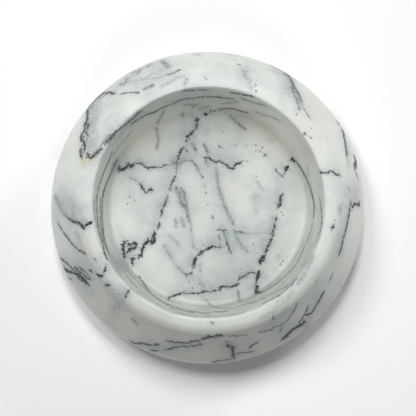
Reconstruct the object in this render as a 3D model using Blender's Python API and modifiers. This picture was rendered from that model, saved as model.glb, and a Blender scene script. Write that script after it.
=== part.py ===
"""A thick-walled marble bowl, turned from one block, standing on four felt pads.

Run with: blender --background --python part.py
Metres, +Z up. The origin is the centre of the footprint, on the surface the bowl stands on.
"""
import math

import bmesh
import bpy
from mathutils import Vector

MM = 0.001

# Stone body: sizes of the turned profile
OUTER_RADIUS = 125.0 * MM      # the widest ring, low on the outside
STONE_HEIGHT = 58.0 * MM       # flat underside to the crown of the rim
BASE_ROUND = 12.0 * MM         # rounded edge between the flank and the underside
MOUTH_RADIUS = 88.0 * MM       # the opening, measured inside the lip
LIP_ROUND = 1.6 * MM           # eased inner edge of the rim
RIM_WIDTH = 8.0 * MM           # from the lip's round to the shoulder's round
RIM_CROWN = 42.0 * MM          # radius of the rim's slightly domed top
SHOULDER_ROUND = 6.5 * MM      # turn from the rim down into the flank
FLOOR_THICKNESS = 12.0 * MM    # stone under the flat inner floor
FLOOR_RADIUS = 75.9 * MM       # flat part of the inner floor
FLOOR_FILLET = 3.0 * MM        # hollow corner between the floor and the wall

# Felt pads: self-adhesive discs under the flat underside
PAD_RADIUS = 10.0 * MM
PAD_THICKNESS = 2.0 * MM
PAD_CIRCLE_RADIUS = 88.0 * MM  # from the bowl's axis to a pad's centre
PAD_EDGE_ROUND = 0.4 * MM
GLUE_FILM = 0.3 * MM           # between a pad and the stone

# Fineness of the meshes
TURN_STEPS = 96
PAD_SIDES = 40
FILLET_STEPS = 6
LIP_STEPS = 4
CROWN_STEPS = 3
SHOULDER_STEPS = 7
BASE_UPPER_STEPS = 5
BASE_LOWER_STEPS = 8
PAD_EDGE_STEPS = 2
MERGE_DISTANCE = 0.01 * MM

# Each pad's name and the direction in which it lies from the axis
PAD_DIRECTIONS = {
    "felt_pad_front_left": math.radians(225),
    "felt_pad_front_right": math.radians(315),
    "felt_pad_back_right": math.radians(45),
    "felt_pad_back_left": math.radians(135),
}

STONE_COLOUR = (0.70, 0.73, 0.69, 1.0)
FELT_COLOUR = (0.36, 0.36, 0.35, 1.0)


def clear_scene():
    for old in list(bpy.data.objects):
        bpy.data.objects.remove(old)


def plain_material(name, colour, roughness):
    """A Principled material of one colour; neither stone nor felt is metallic."""
    material = bpy.data.materials.new(name)
    material.use_nodes = True
    shader = material.node_tree.nodes["Principled BSDF"]
    shader.inputs["Base Color"].default_value = colour
    shader.inputs["Roughness"].default_value = roughness
    shader.inputs["Metallic"].default_value = 0.0
    material.diffuse_color = colour
    return material


def point_on_circle(centre, radius, angle):
    """A profile point (r, z) on a circle, at an angle measured from +r towards +z."""
    return (centre[0] + radius * math.cos(angle), centre[1] + radius * math.sin(angle))


def arc(centre, radius, start, end, steps):
    """Profile points along a circular arc, both ends included."""
    angles = [start + (end - start) * i / steps for i in range(steps + 1)]
    return [point_on_circle(centre, radius, angle) for angle in angles]


def tangent_angle(from_centre, to_centre, radius_sum, side):
    """The angle of the normal of a straight line that touches two circles.

    radius_sum is how much further along that normal the second centre lies. side is +1
    where the normal is anticlockwise of the line between the centres, and -1 where not.
    """
    along = Vector(to_centre) - Vector(from_centre)
    heading = math.atan2(along.y, along.x)
    return heading + side * math.acos(radius_sum / along.length)


def stone_profile():
    """The half section, from the middle of the inner floor round to the underside's middle.

    Five rounds carry the shape, and the straight wall and flank are the lines that touch
    the rounds at their two ends, so every join is smooth.
    """
    underside = PAD_THICKNESS + GLUE_FILM
    floor_height = underside + FLOOR_THICKNESS
    top = underside + STONE_HEIGHT
    lip_ring = MOUTH_RADIUS + LIP_ROUND

    fillet_centre = (FLOOR_RADIUS, floor_height + FLOOR_FILLET)
    lip_centre = (lip_ring, top - LIP_ROUND)
    crown_centre = (lip_ring, top - RIM_CROWN)
    base_centre = (OUTER_RADIUS - BASE_ROUND, underside + BASE_ROUND)

    # The shoulder's round touches the crown from inside, where the rim's width ends.
    crown_end = math.acos(RIM_WIDTH / RIM_CROWN)
    shoulder_centre = point_on_circle(crown_centre, RIM_CROWN - SHOULDER_ROUND, crown_end)

    # The wall runs from the hollow side of the fillet to the solid side of the lip.
    wall_normal = tangent_angle(fillet_centre, lip_centre, -(FLOOR_FILLET + LIP_ROUND), 1)
    flank_normal = tangent_angle(base_centre, shoulder_centre, BASE_ROUND - SHOULDER_ROUND, -1)

    up, out, down = math.radians(90), 0.0, math.radians(-90)
    return [
        (0.0, floor_height),
        *arc(fillet_centre, FLOOR_FILLET, down, wall_normal - math.pi, FILLET_STEPS),
        *arc(lip_centre, LIP_ROUND, wall_normal, up, LIP_STEPS),
        *arc(crown_centre, RIM_CROWN, up, crown_end, CROWN_STEPS)[1:],
        *arc(shoulder_centre, SHOULDER_ROUND, crown_end, flank_normal, SHOULDER_STEPS)[1:],
        *arc(base_centre, BASE_ROUND, flank_normal, out, BASE_UPPER_STEPS),
        *arc(base_centre, BASE_ROUND, out, down, BASE_LOWER_STEPS)[1:],
        (0.0, underside),
    ]


def make_stone_bowl(parts):
    """The body: its half section turned about Z by a Screw modifier."""
    points = stone_profile()
    mesh = bpy.data.meshes.new("stone_bowl")
    vertices = [(r, 0.0, z) for r, z in points]
    edges = [(i, i + 1) for i in range(len(points) - 1)]
    mesh.from_pydata(vertices, edges, [])
    bowl = bpy.data.objects.new("stone_bowl", mesh)
    parts.objects.link(bowl)

    turn = bowl.modifiers.new("turned", "SCREW")
    turn.axis = "Z"
    turn.angle = math.radians(360)
    turn.steps = TURN_STEPS
    turn.render_steps = TURN_STEPS
    turn.use_merge_vertices = True
    turn.merge_threshold = MERGE_DISTANCE
    turn.use_smooth_shade = True
    mesh.materials.append(plain_material("honed_marble", STONE_COLOUR, 0.25))
    return bowl


def make_pad_mesh():
    """One felt disc, its centre at the mesh's origin and its rims softened."""
    mesh = bpy.data.meshes.new("felt_pad")
    shape = bmesh.new()
    bmesh.ops.create_cone(
        shape,
        cap_ends=True,
        segments=PAD_SIDES,
        radius1=PAD_RADIUS,
        radius2=PAD_RADIUS,
        depth=PAD_THICKNESS,
    )
    shape.to_mesh(mesh)
    shape.free()
    mesh.materials.append(plain_material("felt", FELT_COLOUR, 0.95))
    return mesh


def make_felt_pads(parts):
    """Four discs on one circle, each stuck to the underside by its film of glue."""
    mesh = make_pad_mesh()
    for name, direction in PAD_DIRECTIONS.items():
        pad = bpy.data.objects.new(name, mesh)
        pad.location = (
            PAD_CIRCLE_RADIUS * math.cos(direction),
            PAD_CIRCLE_RADIUS * math.sin(direction),
            PAD_THICKNESS / 2,
        )
        parts.objects.link(pad)
        rim = pad.modifiers.new("soft_rim", "BEVEL")
        rim.width = PAD_EDGE_ROUND
        rim.segments = PAD_EDGE_STEPS
        rim.limit_method = "ANGLE"


def main():
    clear_scene()
    parts = bpy.data.collections.new("marble_bowl")
    bpy.context.scene.collection.children.link(parts)
    make_stone_bowl(parts)
    make_felt_pads(parts)


main()
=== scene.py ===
# %% [markdown]
# # A veined marble bowl
#
# The real bowl is one block of pale, greenish white marble, turned on a lathe and then honed
# until it has a soft gleam. Its walls are thick, and its shape is plain, so nearly all of its
# character lies in the veins. This lesson turns the bowl, draws its veins on the stone, and
# lights it for a picture from almost straight above.
#
# The frame comes first. It holds the finished solids at their real size, and everything
# below is measured from it.

# %% Load the frame
import math
import random

import bpy
import numpy as np
from mathutils import Matrix, Vector
from mathutils.bvhtree import BVHTree


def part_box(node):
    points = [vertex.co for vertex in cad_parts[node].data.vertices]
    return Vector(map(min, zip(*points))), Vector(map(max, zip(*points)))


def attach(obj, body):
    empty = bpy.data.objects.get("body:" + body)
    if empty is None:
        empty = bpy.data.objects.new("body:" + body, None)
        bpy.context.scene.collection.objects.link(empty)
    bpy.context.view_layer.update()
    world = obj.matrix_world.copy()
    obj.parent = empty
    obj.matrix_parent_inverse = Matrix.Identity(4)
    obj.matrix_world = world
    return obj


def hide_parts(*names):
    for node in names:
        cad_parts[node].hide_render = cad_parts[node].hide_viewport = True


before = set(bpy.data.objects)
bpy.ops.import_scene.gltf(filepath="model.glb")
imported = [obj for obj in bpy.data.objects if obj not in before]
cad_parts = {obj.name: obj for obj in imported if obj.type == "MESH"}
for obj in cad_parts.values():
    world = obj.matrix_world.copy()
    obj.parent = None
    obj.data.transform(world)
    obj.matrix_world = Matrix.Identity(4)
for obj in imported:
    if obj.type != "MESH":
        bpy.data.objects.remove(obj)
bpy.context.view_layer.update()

MM = 0.001
print("nodes:", ", ".join(sorted(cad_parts)))

# %% [markdown]
# ## The camera
#
# The photographer stood over the bowl and leaned back a little, so the rim's circle sits
# slightly above the outline's circle in the picture. A long lens keeps both circles round.
# The camera is placed first because the veins will be drawn through it.

# %% Place the camera
PICTURE_SIDE = 416
SENSOR_WIDTH = 36.0
FOCAL_PIXELS = 1172.3
OPTICAL_CENTRE_PIXELS = (208.19, 204.85)
EYE = Vector((-16.19, -65.19, 950.0)) * MM
LOOK_AT = Vector((0.0, 0.0, 30.0)) * MM

forward = (LOOK_AT - EYE).normalized()
rightward = forward.cross(Vector((0, 1, 0))).normalized()
upward = rightward.cross(forward)

lens = bpy.data.cameras.new("overhead_camera")
lens.sensor_width = SENSOR_WIDTH
lens.lens = FOCAL_PIXELS * SENSOR_WIDTH / PICTURE_SIDE
lens.shift_x = (PICTURE_SIDE / 2 - OPTICAL_CENTRE_PIXELS[0]) / PICTURE_SIDE
lens.shift_y = (OPTICAL_CENTRE_PIXELS[1] - PICTURE_SIDE / 2) / PICTURE_SIDE
camera = bpy.data.objects.new("overhead_camera", lens)
bpy.context.scene.collection.objects.link(camera)
turned = Matrix((rightward, upward, -forward)).transposed().to_4x4()
camera.matrix_world = Matrix.Translation(EYE) @ turned
bpy.context.scene.camera = camera
print("lens in mm:", round(lens.lens, 1), "lean in degrees:",
      round(math.degrees(forward.angle(Vector((0, 0, -1)))), 2))

# %% [markdown]
# ## The section of the bowl
#
# A turner cuts a bowl to a section: the half outline that sweeps round the axis. This one has
# five rounds, joined by a straight wall inside and a straight flank outside. The rounds are
# given by their centres and radii, and each straight line touches the rounds at its ends.
#
# Where the stone is seen, the section is stepped finely, because every ring of the mesh will
# carry a piece of vein. The rings of the flat underside may lie further apart.

# %% Section sizes
LIP_ROUND = 1.6 * MM
RIM_WIDTH = 8.0 * MM
RIM_CROWN = 42.0 * MM
SHOULDER_ROUND = 6.5 * MM
BASE_ROUND = 12.0 * MM
FLOOR_FILLET = 3.0 * MM
MOUTH_RADIUS = 88.0 * MM
FLOOR_RADIUS = 75.9 * MM
FLOOR_THICKNESS = 12.0 * MM

stone_low, stone_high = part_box("stone_bowl")
OUTER_RADIUS = stone_high[0]
UNDERSIDE = stone_low[2]
TOP = stone_high[2]
FLOOR_HEIGHT = UNDERSIDE + FLOOR_THICKNESS

TOP_RING_STEP = 1.2 * MM
UNDER_RING_STEP = 3.4 * MM
FEWEST_ARC_STEPS = 3
SAME_POINT = 0.01 * MM


def on_circle(centre, radius, angle):
    """A section point (r, z) on a circle, its angle measured from outwards towards up."""
    return (centre[0] + radius * math.cos(angle), centre[1] + radius * math.sin(angle))


def arc(centre, radius, start, end, step):
    """Section points along an arc, both ends included, no further apart than the step."""
    count = max(FEWEST_ARC_STEPS, math.ceil(abs(end - start) * radius / step))
    return [on_circle(centre, radius, start + (end - start) * i / count)
            for i in range(count + 1)]


def straight(start, end, step):
    """The points between two section points, the ends left out."""
    count = math.ceil(math.dist(start, end) / step)
    return [tuple(a + (b - a) * i / count for a, b in zip(start, end))
            for i in range(1, count)]


def touching_line(start_centre, end_centre, radius_sum, side):
    """The direction square to the straight line that touches two rounds."""
    along = Vector(end_centre) - Vector(start_centre)
    return math.atan2(along.y, along.x) + side * math.acos(radius_sum / along.length)


def bowl_section():
    """The half section from the middle of the floor, up and over the rim, to the underside."""
    lip_ring = MOUTH_RADIUS + LIP_ROUND
    fillet = (FLOOR_RADIUS, FLOOR_HEIGHT + FLOOR_FILLET)
    lip = (lip_ring, TOP - LIP_ROUND)
    crown = (lip_ring, TOP - RIM_CROWN)
    base = (OUTER_RADIUS - BASE_ROUND, UNDERSIDE + BASE_ROUND)
    crown_end = math.acos(RIM_WIDTH / RIM_CROWN)
    shoulder = on_circle(crown, RIM_CROWN - SHOULDER_ROUND, crown_end)
    wall = touching_line(fillet, lip, -(FLOOR_FILLET + LIP_ROUND), 1)
    flank = touching_line(base, shoulder, BASE_ROUND - SHOULDER_ROUND, -1)
    up, down = math.radians(90), math.radians(-90)

    rounds = [
        arc(fillet, FLOOR_FILLET, down, wall - math.pi, TOP_RING_STEP / 2),
        arc(lip, LIP_ROUND, wall, up, TOP_RING_STEP / 2),
        arc(crown, RIM_CROWN, up, crown_end, TOP_RING_STEP),
        arc(shoulder, SHOULDER_ROUND, crown_end, flank, TOP_RING_STEP),
        arc(base, BASE_ROUND, flank, 0.0, TOP_RING_STEP),
        arc(base, BASE_ROUND, 0.0, down, TOP_RING_STEP),
    ]
    points = [(0.0, FLOOR_HEIGHT)]
    for curve in rounds:
        points += straight(points[-1], curve[0], TOP_RING_STEP)
        points += curve if math.dist(points[-1], curve[0]) > SAME_POINT else curve[1:]
    points += straight(points[-1], (0.0, UNDERSIDE), UNDER_RING_STEP)
    points.append((0.0, UNDERSIDE))
    return points


section = bowl_section()
print("section points:", len(section))

# %% [markdown]
# ## Turn the stone
#
# The block starts as a small square, merged to a single point on the axis. The point is
# extruded along the section, step by step, and the line that this draws is spun into a
# wedge, a sixteenth of the whole. The wedge is doubled four times to close the circle,
# which is much quicker than one long spin. The seams and the two poles are then merged, so
# the stone is one closed body, and its normals are recalculated, because a spin may leave
# them pointing inwards.

# %% Spin the section
WEDGES = 16
WEDGE_STEPS = 28
SEAM_GAP = 0.001 * MM


def deselect_everything():
    if bpy.context.object and bpy.context.object.mode != "OBJECT":
        bpy.ops.object.mode_set(mode="OBJECT")
    bpy.ops.object.select_all(action="DESELECT")


deselect_everything()
bpy.ops.mesh.primitive_plane_add(size=MM, location=(0.0, 0.0, FLOOR_HEIGHT))
bowl = bpy.context.object
bowl.name = "veined_marble_bowl"
bpy.ops.object.transform_apply(location=True)
bpy.ops.object.mode_set(mode="EDIT")
bpy.ops.mesh.select_all(action="SELECT")
bpy.ops.mesh.merge(type="CENTER")
for here, there in zip(section, section[1:]):
    step = (there[0] - here[0], 0.0, there[1] - here[1])
    bpy.ops.mesh.extrude_vertices_move(TRANSFORM_OT_translate={"value": step})
bpy.ops.mesh.select_all(action="SELECT")
wedge = math.radians(360) / WEDGES
bpy.ops.mesh.spin(steps=WEDGE_STEPS, angle=wedge, center=(0, 0, 0), axis=(0, 0, 1))
while wedge < math.radians(360):
    bpy.ops.mesh.select_all(action="SELECT")
    bpy.ops.mesh.duplicate()
    bpy.ops.transform.rotate(value=wedge, orient_axis="Z", center_override=(0, 0, 0))
    wedge *= 2
bpy.ops.mesh.select_all(action="SELECT")
bpy.ops.mesh.remove_doubles(threshold=SEAM_GAP)
bpy.ops.mesh.normals_make_consistent(inside=False)
bpy.ops.object.mode_set(mode="OBJECT")
bpy.ops.object.shade_smooth()
triangles = sum(len(face.vertices) - 2 for face in bowl.data.polygons)
print("stone triangles:", triangles, "size in mm:", [round(d / MM, 2) for d in bowl.dimensions])

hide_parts("stone_bowl")
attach(bowl, "root")

# %% [markdown]
# ## Veins, drawn through the camera
#
# Marble is limestone that cracked under the ground and healed again. Its veins are the
# healed cracks: dark, jagged lines, often with a bluish haze on one side. The turner cut
# through them, so where a vein runs over the rim it turns a corner with the stone.
#
# Each vein below is a path of picture points, in pixels of the 416-pixel picture. A ray from
# the camera through each point finds the spot on the stone, so the path bends over wall, rim and
# flank as the real vein does. Widths are real sizes. Ink says how dark a vein is.

# %% Find the stone behind a picture point
BELOW_THE_TABLE = -1.0
stone_tree = BVHTree.FromObject(bowl, bpy.context.evaluated_depsgraph_get())


def seen_spot(x, y):
    """The spot and the normal of the stone that the camera sees at a picture point."""
    across = (x - OPTICAL_CENTRE_PIXELS[0]) / FOCAL_PIXELS
    down = (y - OPTICAL_CENTRE_PIXELS[1]) / FOCAL_PIXELS
    return stone_tree.ray_cast(EYE, forward + rightward * across - upward * down)[:2]


def spot_above(x, y):
    """The spot and the normal of the stone straight above a point of the table."""
    return stone_tree.ray_cast(Vector((x, y, BELOW_THE_TABLE)), Vector((0, 0, 1)))[:2]


middle = seen_spot(PICTURE_SIDE / 2, PICTURE_SIDE / 2)[0]
print("the picture's middle lies on the stone at", [round(c / MM, 1) for c in middle])

# %% Describe a vein
COMPASS = {"N": (0, -1), "S": (0, 1), "W": (-1, 0), "E": (1, 0)}


def vein(*points, width=1.0, ink=0.8, haze=0.0, toward="", reach=7.0, soft=False, grains=0.5):
    """A drawn vein: its width and its haze's reach in mm, ink, haze and grains from 0 to 1.

    toward is the side on which the haze lies, as a compass letter, with N at the top of
    the picture; without it the haze lies on both sides. A soft vein has no hard edge. The
    grains are the small dark crystals that lie loose beside a vein.
    """
    return {"points": points, "width": width * MM, "ink": ink, "haze": haze, "toward": toward,
            "reach": reach * MM, "soft": soft, "grains": grains}


VEINS = {}

# %% [markdown]
# ### Veins of the inner floor
#
# The main vein runs from the far wall down the left half of the floor. It is broken: the dark
# line stops and starts again a little further on, and it ends in a knot.

# %% Draw the main vein
VEINS.update({
    "main_blot": vein((203.5, 114.8), (206.5, 114), width=4.0, ink=1.0),
    "main_dots": vein((214.8, 111.2), (213.8, 111.2), width=1.8, ink=1.0),
    "main_dots_two": vein((210.8, 111), (210, 111), width=1.6, ink=1.0),
    "main_start": vein(
        (199.5, 119), (197.6, 120.3), (196.2, 121.5), (196.8, 124.5), (195.6, 128.3), (193.5, 131),
        width=1.1, ink=0.95, haze=0.5, reach=5.0, grains=0.6),
    "main_start_low": vein(
        (193.5, 131), (191.5, 133), (190, 135.2), (187.8, 136.6), (187.2, 138.8),
        width=2.0, ink=1.0, haze=0.55, reach=5.0, grains=0.7),
    "main_start_drop": vein((186.8, 140), (186.2, 142.3), width=1.7, ink=1.0, haze=0.5, reach=5.0),
    "main_start_blot": vein((198.6, 119.4), (196, 120.2), width=3.6, ink=1.0),
    "main_bend_blot": vein((189, 135.2), (187, 136.5), width=2.6, ink=1.0),
    "main_spur": vein((187.8, 136.7), (190.5, 139.4), width=1.2),
    "main_upper": vein(
        (184.3, 146.7), (182, 149), (180.5, 152), (179.3, 155), (177.6, 159),
        width=1.5, ink=1.0, haze=0.55, toward="E", reach=6.0, grains=0.6),
    "main_crossing": vein(
        (177.6, 159), (176.8, 163), (176.6, 168), (176, 174),
        ink=0.5, haze=0.4, reach=5.0, grains=0.9),
    "main_middle": vein(
        (176, 175.5), (174, 178.5), (172, 182), (171, 186), (170, 190),
        width=1.6, ink=0.95, haze=0.5, toward="W", reach=4.0),
    "main_lower": vein(
        (168, 195), (167, 200), (165, 204), (163, 207), (161.8, 210), (161.8, 213), (160.5, 216.5),
        width=1.7, ink=0.95, haze=0.65, toward="W", reach=6.0),
    "main_dash": vein(
        (159.7, 222), (159.4, 225), (158, 227), (157, 229.5),
        width=1.5, ink=0.9, haze=0.5, toward="W", reach=6.0),
    "main_knot": vein(
        (154.6, 232), (154.5, 234), (153.5, 238), (154, 241.5), (151.5, 243.5), (149, 240),
        (147, 242.5), (144.5, 245.5), (142.5, 248.5), (142, 252),
        width=2.1, ink=1.0, haze=0.6, toward="W", grains=0.9),
    "main_tail": vein((141.5, 253), (140.3, 256), (139.3, 258), width=3.4, ink=1.0),
    "main_branch": vein((184.5, 147.8), (187, 150.5), (188.9, 153), width=1.2),
})
print("veins so far:", len(VEINS))

# %% [markdown]
# Left of the main vein lies a small scribble. Further up, a wavering line crosses the main
# vein almost level, and a short one falls away below it.

# %% Draw the scribble and the level line
VEINS.update({
    "scribble_left": vein(
        (127, 241), (125, 241.5), (122.5, 245), (123, 248), (124, 251), (124, 256), (125, 260),
        width=1.2, ink=0.9, haze=0.5, reach=6.0, grains=1.0),
    "scribble_right": vein(
        (128, 242.5), (129.5, 245), (132, 244), (135, 243.5), (136.5, 244.5), (135, 248), (131, 248.5),
        (128.5, 251), (127, 253),
        width=1.2, ink=0.9, grains=1.0),
    "scribble_foot": vein((132.3, 265.5), (132, 258.5), (136, 257.8), width=1.4, ink=0.95),
    "cross_left": vein(
        (118.7, 172), (119, 168), (121, 170), (124, 169), (126.5, 167.5), (127.7, 164.5),
        (129.5, 166.5), (132, 166), (134, 163),
        width=2.0, ink=1.0, haze=0.4, toward="N", grains=0.7),
    "cross_middle": vein(
        (136.5, 163.5), (140, 163), (143, 164.5), (144.5, 167), (146.5, 168.2), (149, 167.5),
        (155, 167.5), (160, 167), (164, 166), (168, 165),
        width=1.5, ink=0.95, haze=0.4, toward="N"),
    "cross_right": vein(
        (172, 165), (174, 163), (180, 163), (183, 161.5), (186, 160.8), (190, 160.5), (192, 161),
        (194, 163), (196, 166), (199, 169),
        ink=0.6, haze=0.3, toward="N"),
    "falling_line": vein(
        (138.9, 182.8), (141, 185.5), (143, 189), (145.5, 192.2), (147.5, 192), (149.5, 189.6),
        (151.5, 189.8), (154.4, 192.2),
        width=1.8, ink=0.95, haze=0.5, toward="N", reach=5.0),
    "falling_start": vein((128.9, 177.8), (133.9, 179.4), (138.9, 182.8), width=1.1, ink=0.5),
})
print("veins so far:", len(VEINS))

# %% [markdown]
# Some cracks healed without a dark filling. They are drawn as soft veins, which show as a
# line of smoke without an edge. Most of them run down the middle of the floor.

# %% Draw the smoky lines of the middle
VEINS.update({
    "smoke_line": vein(
        (176, 187), (178.5, 194), (180, 197), (180.8, 202), (183, 205), (186, 207.5), (187.5, 212),
        (188, 218), (190, 221.5),
        width=1.2, ink=0.85, haze=0.35, reach=4.0, soft=True),
    "smoke_strand": vein(
        (181.5, 188.5), (184.5, 193), (184.8, 198), (186.5, 202), (186, 207),
        width=1.1, soft=True),
    "smoke_start": vein((175.6, 186.7), (178, 189.5), (180.5, 192.5), width=1.2, soft=True),
    "smoke_tail": vein(
        (190.5, 222), (191.5, 233), (192.3, 240), (193.3, 248),
        width=1.1, ink=0.4, soft=True),
    "smoke_dash_one": vein((181, 218), (182.5, 222), (184, 227), width=1.4, ink=0.5, soft=True),
    "smoke_dash_two": vein((174.5, 219), (176, 223), (176.5, 227.5), width=1.4, ink=0.5, soft=True),
    "thin_fall": vein(
        (168.5, 234.5), (173, 239.5), (178, 243.5), (180, 246),
        width=1.1, ink=0.45, soft=True),
    "long_fall": vein(
        (164, 245), (168, 252), (172, 259), (176, 265), (180, 269.5), (184.5, 273.5),
        width=1.1, ink=0.5, haze=0.25, toward="E", reach=5.0, soft=True),
})
print("veins so far:", len(VEINS))

# %% [markdown]
# Beyond the middle, a dark line sways over to the right, and a long, thin one falls from
# it towards the near side.

# %% Draw the right arch and the long line
VEINS.update({
    "right_arch": vein(
        (204.4, 157.8), (208.5, 158.3), (211, 159.5), (214, 161.5), (216.5, 162), (219, 161.5),
        (222, 163), (226, 164.8), (229, 167.3), (232.5, 168.9), (234.5, 166.5), (236, 163.5),
        (239, 163.4), (241.5, 161.5),
        width=1.5, ink=0.95, haze=0.6, toward="N", reach=6.0, grains=0.7),
    "right_arch_dots": vein((245.5, 160.5), (248.5, 161.8), width=1.1, ink=0.7),
    "right_arch_root": vein((205.5, 161), (208.5, 167), width=1.1, ink=0.55, soft=True),
    "inner_fall": vein(
        (192.2, 160.6), (195.5, 165.5), (198.9, 171), (202, 176.5),
        width=1.1, ink=0.5, soft=True),
    "middle_dash": vein((211.5, 215.5), (213.5, 219.2), width=1.5, ink=0.75),
    "long_line": vein(
        (216.2, 168), (217, 176), (218, 183), (219, 189), (220.5, 195.5), (222.5, 199), (224.5, 206),
        (227.5, 213.5), (230, 217), (233.5, 224),
        width=1.25, ink=0.62, haze=0.25, reach=4.0, soft=True),
    "long_line_low": vein(
        (235, 233.5), (237.5, 239.5), (242, 246), (247.5, 252),
        width=1.2, ink=0.5, haze=0.2, reach=4.0, soft=True),
    "long_line_knot": vein((220, 193.5), (221.5, 198), width=1.5, ink=0.7, soft=True),
    "long_line_grain": vein((225, 206.5), (228.5, 214.5), width=1.6, ink=0.6, soft=True),
})
print("veins so far:", len(VEINS))

# %% [markdown]
# Near the middle of the floor a vein bends over like an arch, with a bluish haze around
# it. A hook hangs beside it, and a faint line leads from the hook to the right.

# %% Draw the low arch and the hook
VEINS.update({
    "arch_left": vein(
        (184.5, 273.5), (186.5, 275.2), (190, 273.8), (192.6, 272),
        width=1.2, ink=0.9, haze=0.4, toward="N", reach=4.0),
    "arch_side": vein(
        (193, 268.5), (193.5, 266), (194.3, 262.5), (195.5, 258.5), (197, 255.8),
        width=1.8, ink=1.0, haze=0.75, toward="W", reach=6.0, grains=0.7),
    "arch_top": vein(
        (196.8, 256), (199, 254.5), (202, 252), (204.5, 250.3),
        width=1.9, ink=1.0, haze=0.65, toward="N", reach=5.0),
    "arch_crest": vein(
        (204.5, 250.3), (208, 248.5), (211, 247), (215, 246.6), (218, 247.2), (222, 247.6),
        width=1.6, ink=1.0, haze=0.6, toward="N", reach=5.0),
    "hook": vein(
        (223.8, 232.3), (225, 236), (226.3, 240.5), (228, 245.5), (230, 250.5), (231.2, 254.2),
        width=1.15, ink=0.85, haze=0.35),
    "hook_top": vein(
        (216.7, 229.6), (220, 229.6), (223, 230.6), (227.2, 229.8),
        width=1.3, ink=0.7, haze=0.3),
    "hook_link": vein((223.5, 232), (225, 235.5), width=1.3),
    "hook_strand": vein((218.3, 234.4), (220.6, 241), width=1.2, ink=0.6),
    "side_line": vein(
        (233, 230), (236, 231.5), (239, 232), (242, 232.5), (244, 233.5),
        width=1.2, ink=0.75, haze=0.3),
    "side_line_end": vein(
        (244, 233.5), (255, 233.4), (260, 233), (266, 232.4),
        width=0.9, ink=0.32, soft=True),
    "side_line_tip": vein((267.5, 233.2), (270, 233.4), (272.5, 232.8), ink=0.7),
})
print("veins so far:", len(VEINS))

# %% [markdown]
# Short dashes lie over the far half of the floor. Most of them lean the same way, as the
# cracks in one block often do.

# %% Draw the short dashes
VEINS.update({
    "right_dash": vein((256.7, 181), (259.5, 185), (262.8, 190), width=0.9, ink=0.4, soft=True),
    "upper_right_one": vein((230.5, 116), (235, 121), (240, 125), (245.5, 129.5), width=1.1, soft=True),
    "upper_dash_one": vein((192.2, 144.4), (194, 147), (196, 151), width=1.2, ink=0.95, soft=True),
    "upper_dash_two": vein(
        (203.9, 144.4), (205.5, 147.5), (207.8, 151.7),
        width=1.2, ink=0.9, soft=True),
    "upper_dash_three": vein(
        (218.3, 145.6), (220, 147), (222.8, 148.6),
        width=1.2, ink=0.7, grains=0.2),
    "upper_left_one": vein(
        (164.4, 110.5), (162.5, 114), (159.5, 119), (157.8, 122.2),
        width=1.5, ink=0.75, soft=True),
    "upper_left_two": vein(
        (156, 127.8), (157.2, 133), (158.3, 137.8), (157.5, 143), (156.7, 148.9),
        width=1.3, ink=0.65, soft=True),
    "upper_left_three": vein((181.7, 112.2), (182.8, 116.7), width=1.2, ink=0.6, soft=True),
})
print("veins so far:", len(VEINS))

# %% [markdown]
# A long, stepped line crosses the near side of the floor, with its haze beyond it.

# %% Draw the near line
VEINS.update({
    "low_line_left": vein(
        (168, 299.5), (170, 297), (177, 295), (180, 294), (183, 293), (188, 293.5), (194, 293.8),
        (200, 293), (204.5, 290.5), (208, 291.8), (211, 292),
        width=1.5, ink=0.95, haze=0.6, toward="N", reach=5.0),
    "low_line_middle": vein(
        (211, 292), (213, 290.5), (216, 291), (220, 289.5), (221, 286.2), (226, 286.6), (231, 287),
        (236, 285.5), (239.5, 283.5),
        width=1.5, ink=0.95, haze=0.6, toward="N", reach=5.0),
    "low_line_right": vein(
        (238, 280.5), (240.5, 277), (244, 276.8), (246, 275.5), (247.5, 273), (251, 272), (256, 273),
        width=1.4, haze=0.5, reach=5.0),
    "low_upright": vein((238, 291), (239, 299), (240, 302), width=1.2, ink=0.77, soft=True),
    "low_dash_one": vein((201.5, 282.5), (204, 287), width=1.2, ink=0.59, soft=True),
    "low_dash_two": vein((200, 263), (199.5, 281), width=1.2, ink=0.26, soft=True),
})
print("veins so far:", len(VEINS))

# %% [markdown]
# On the right a vein is broken up into beads. It ends in two dark blots.

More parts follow.
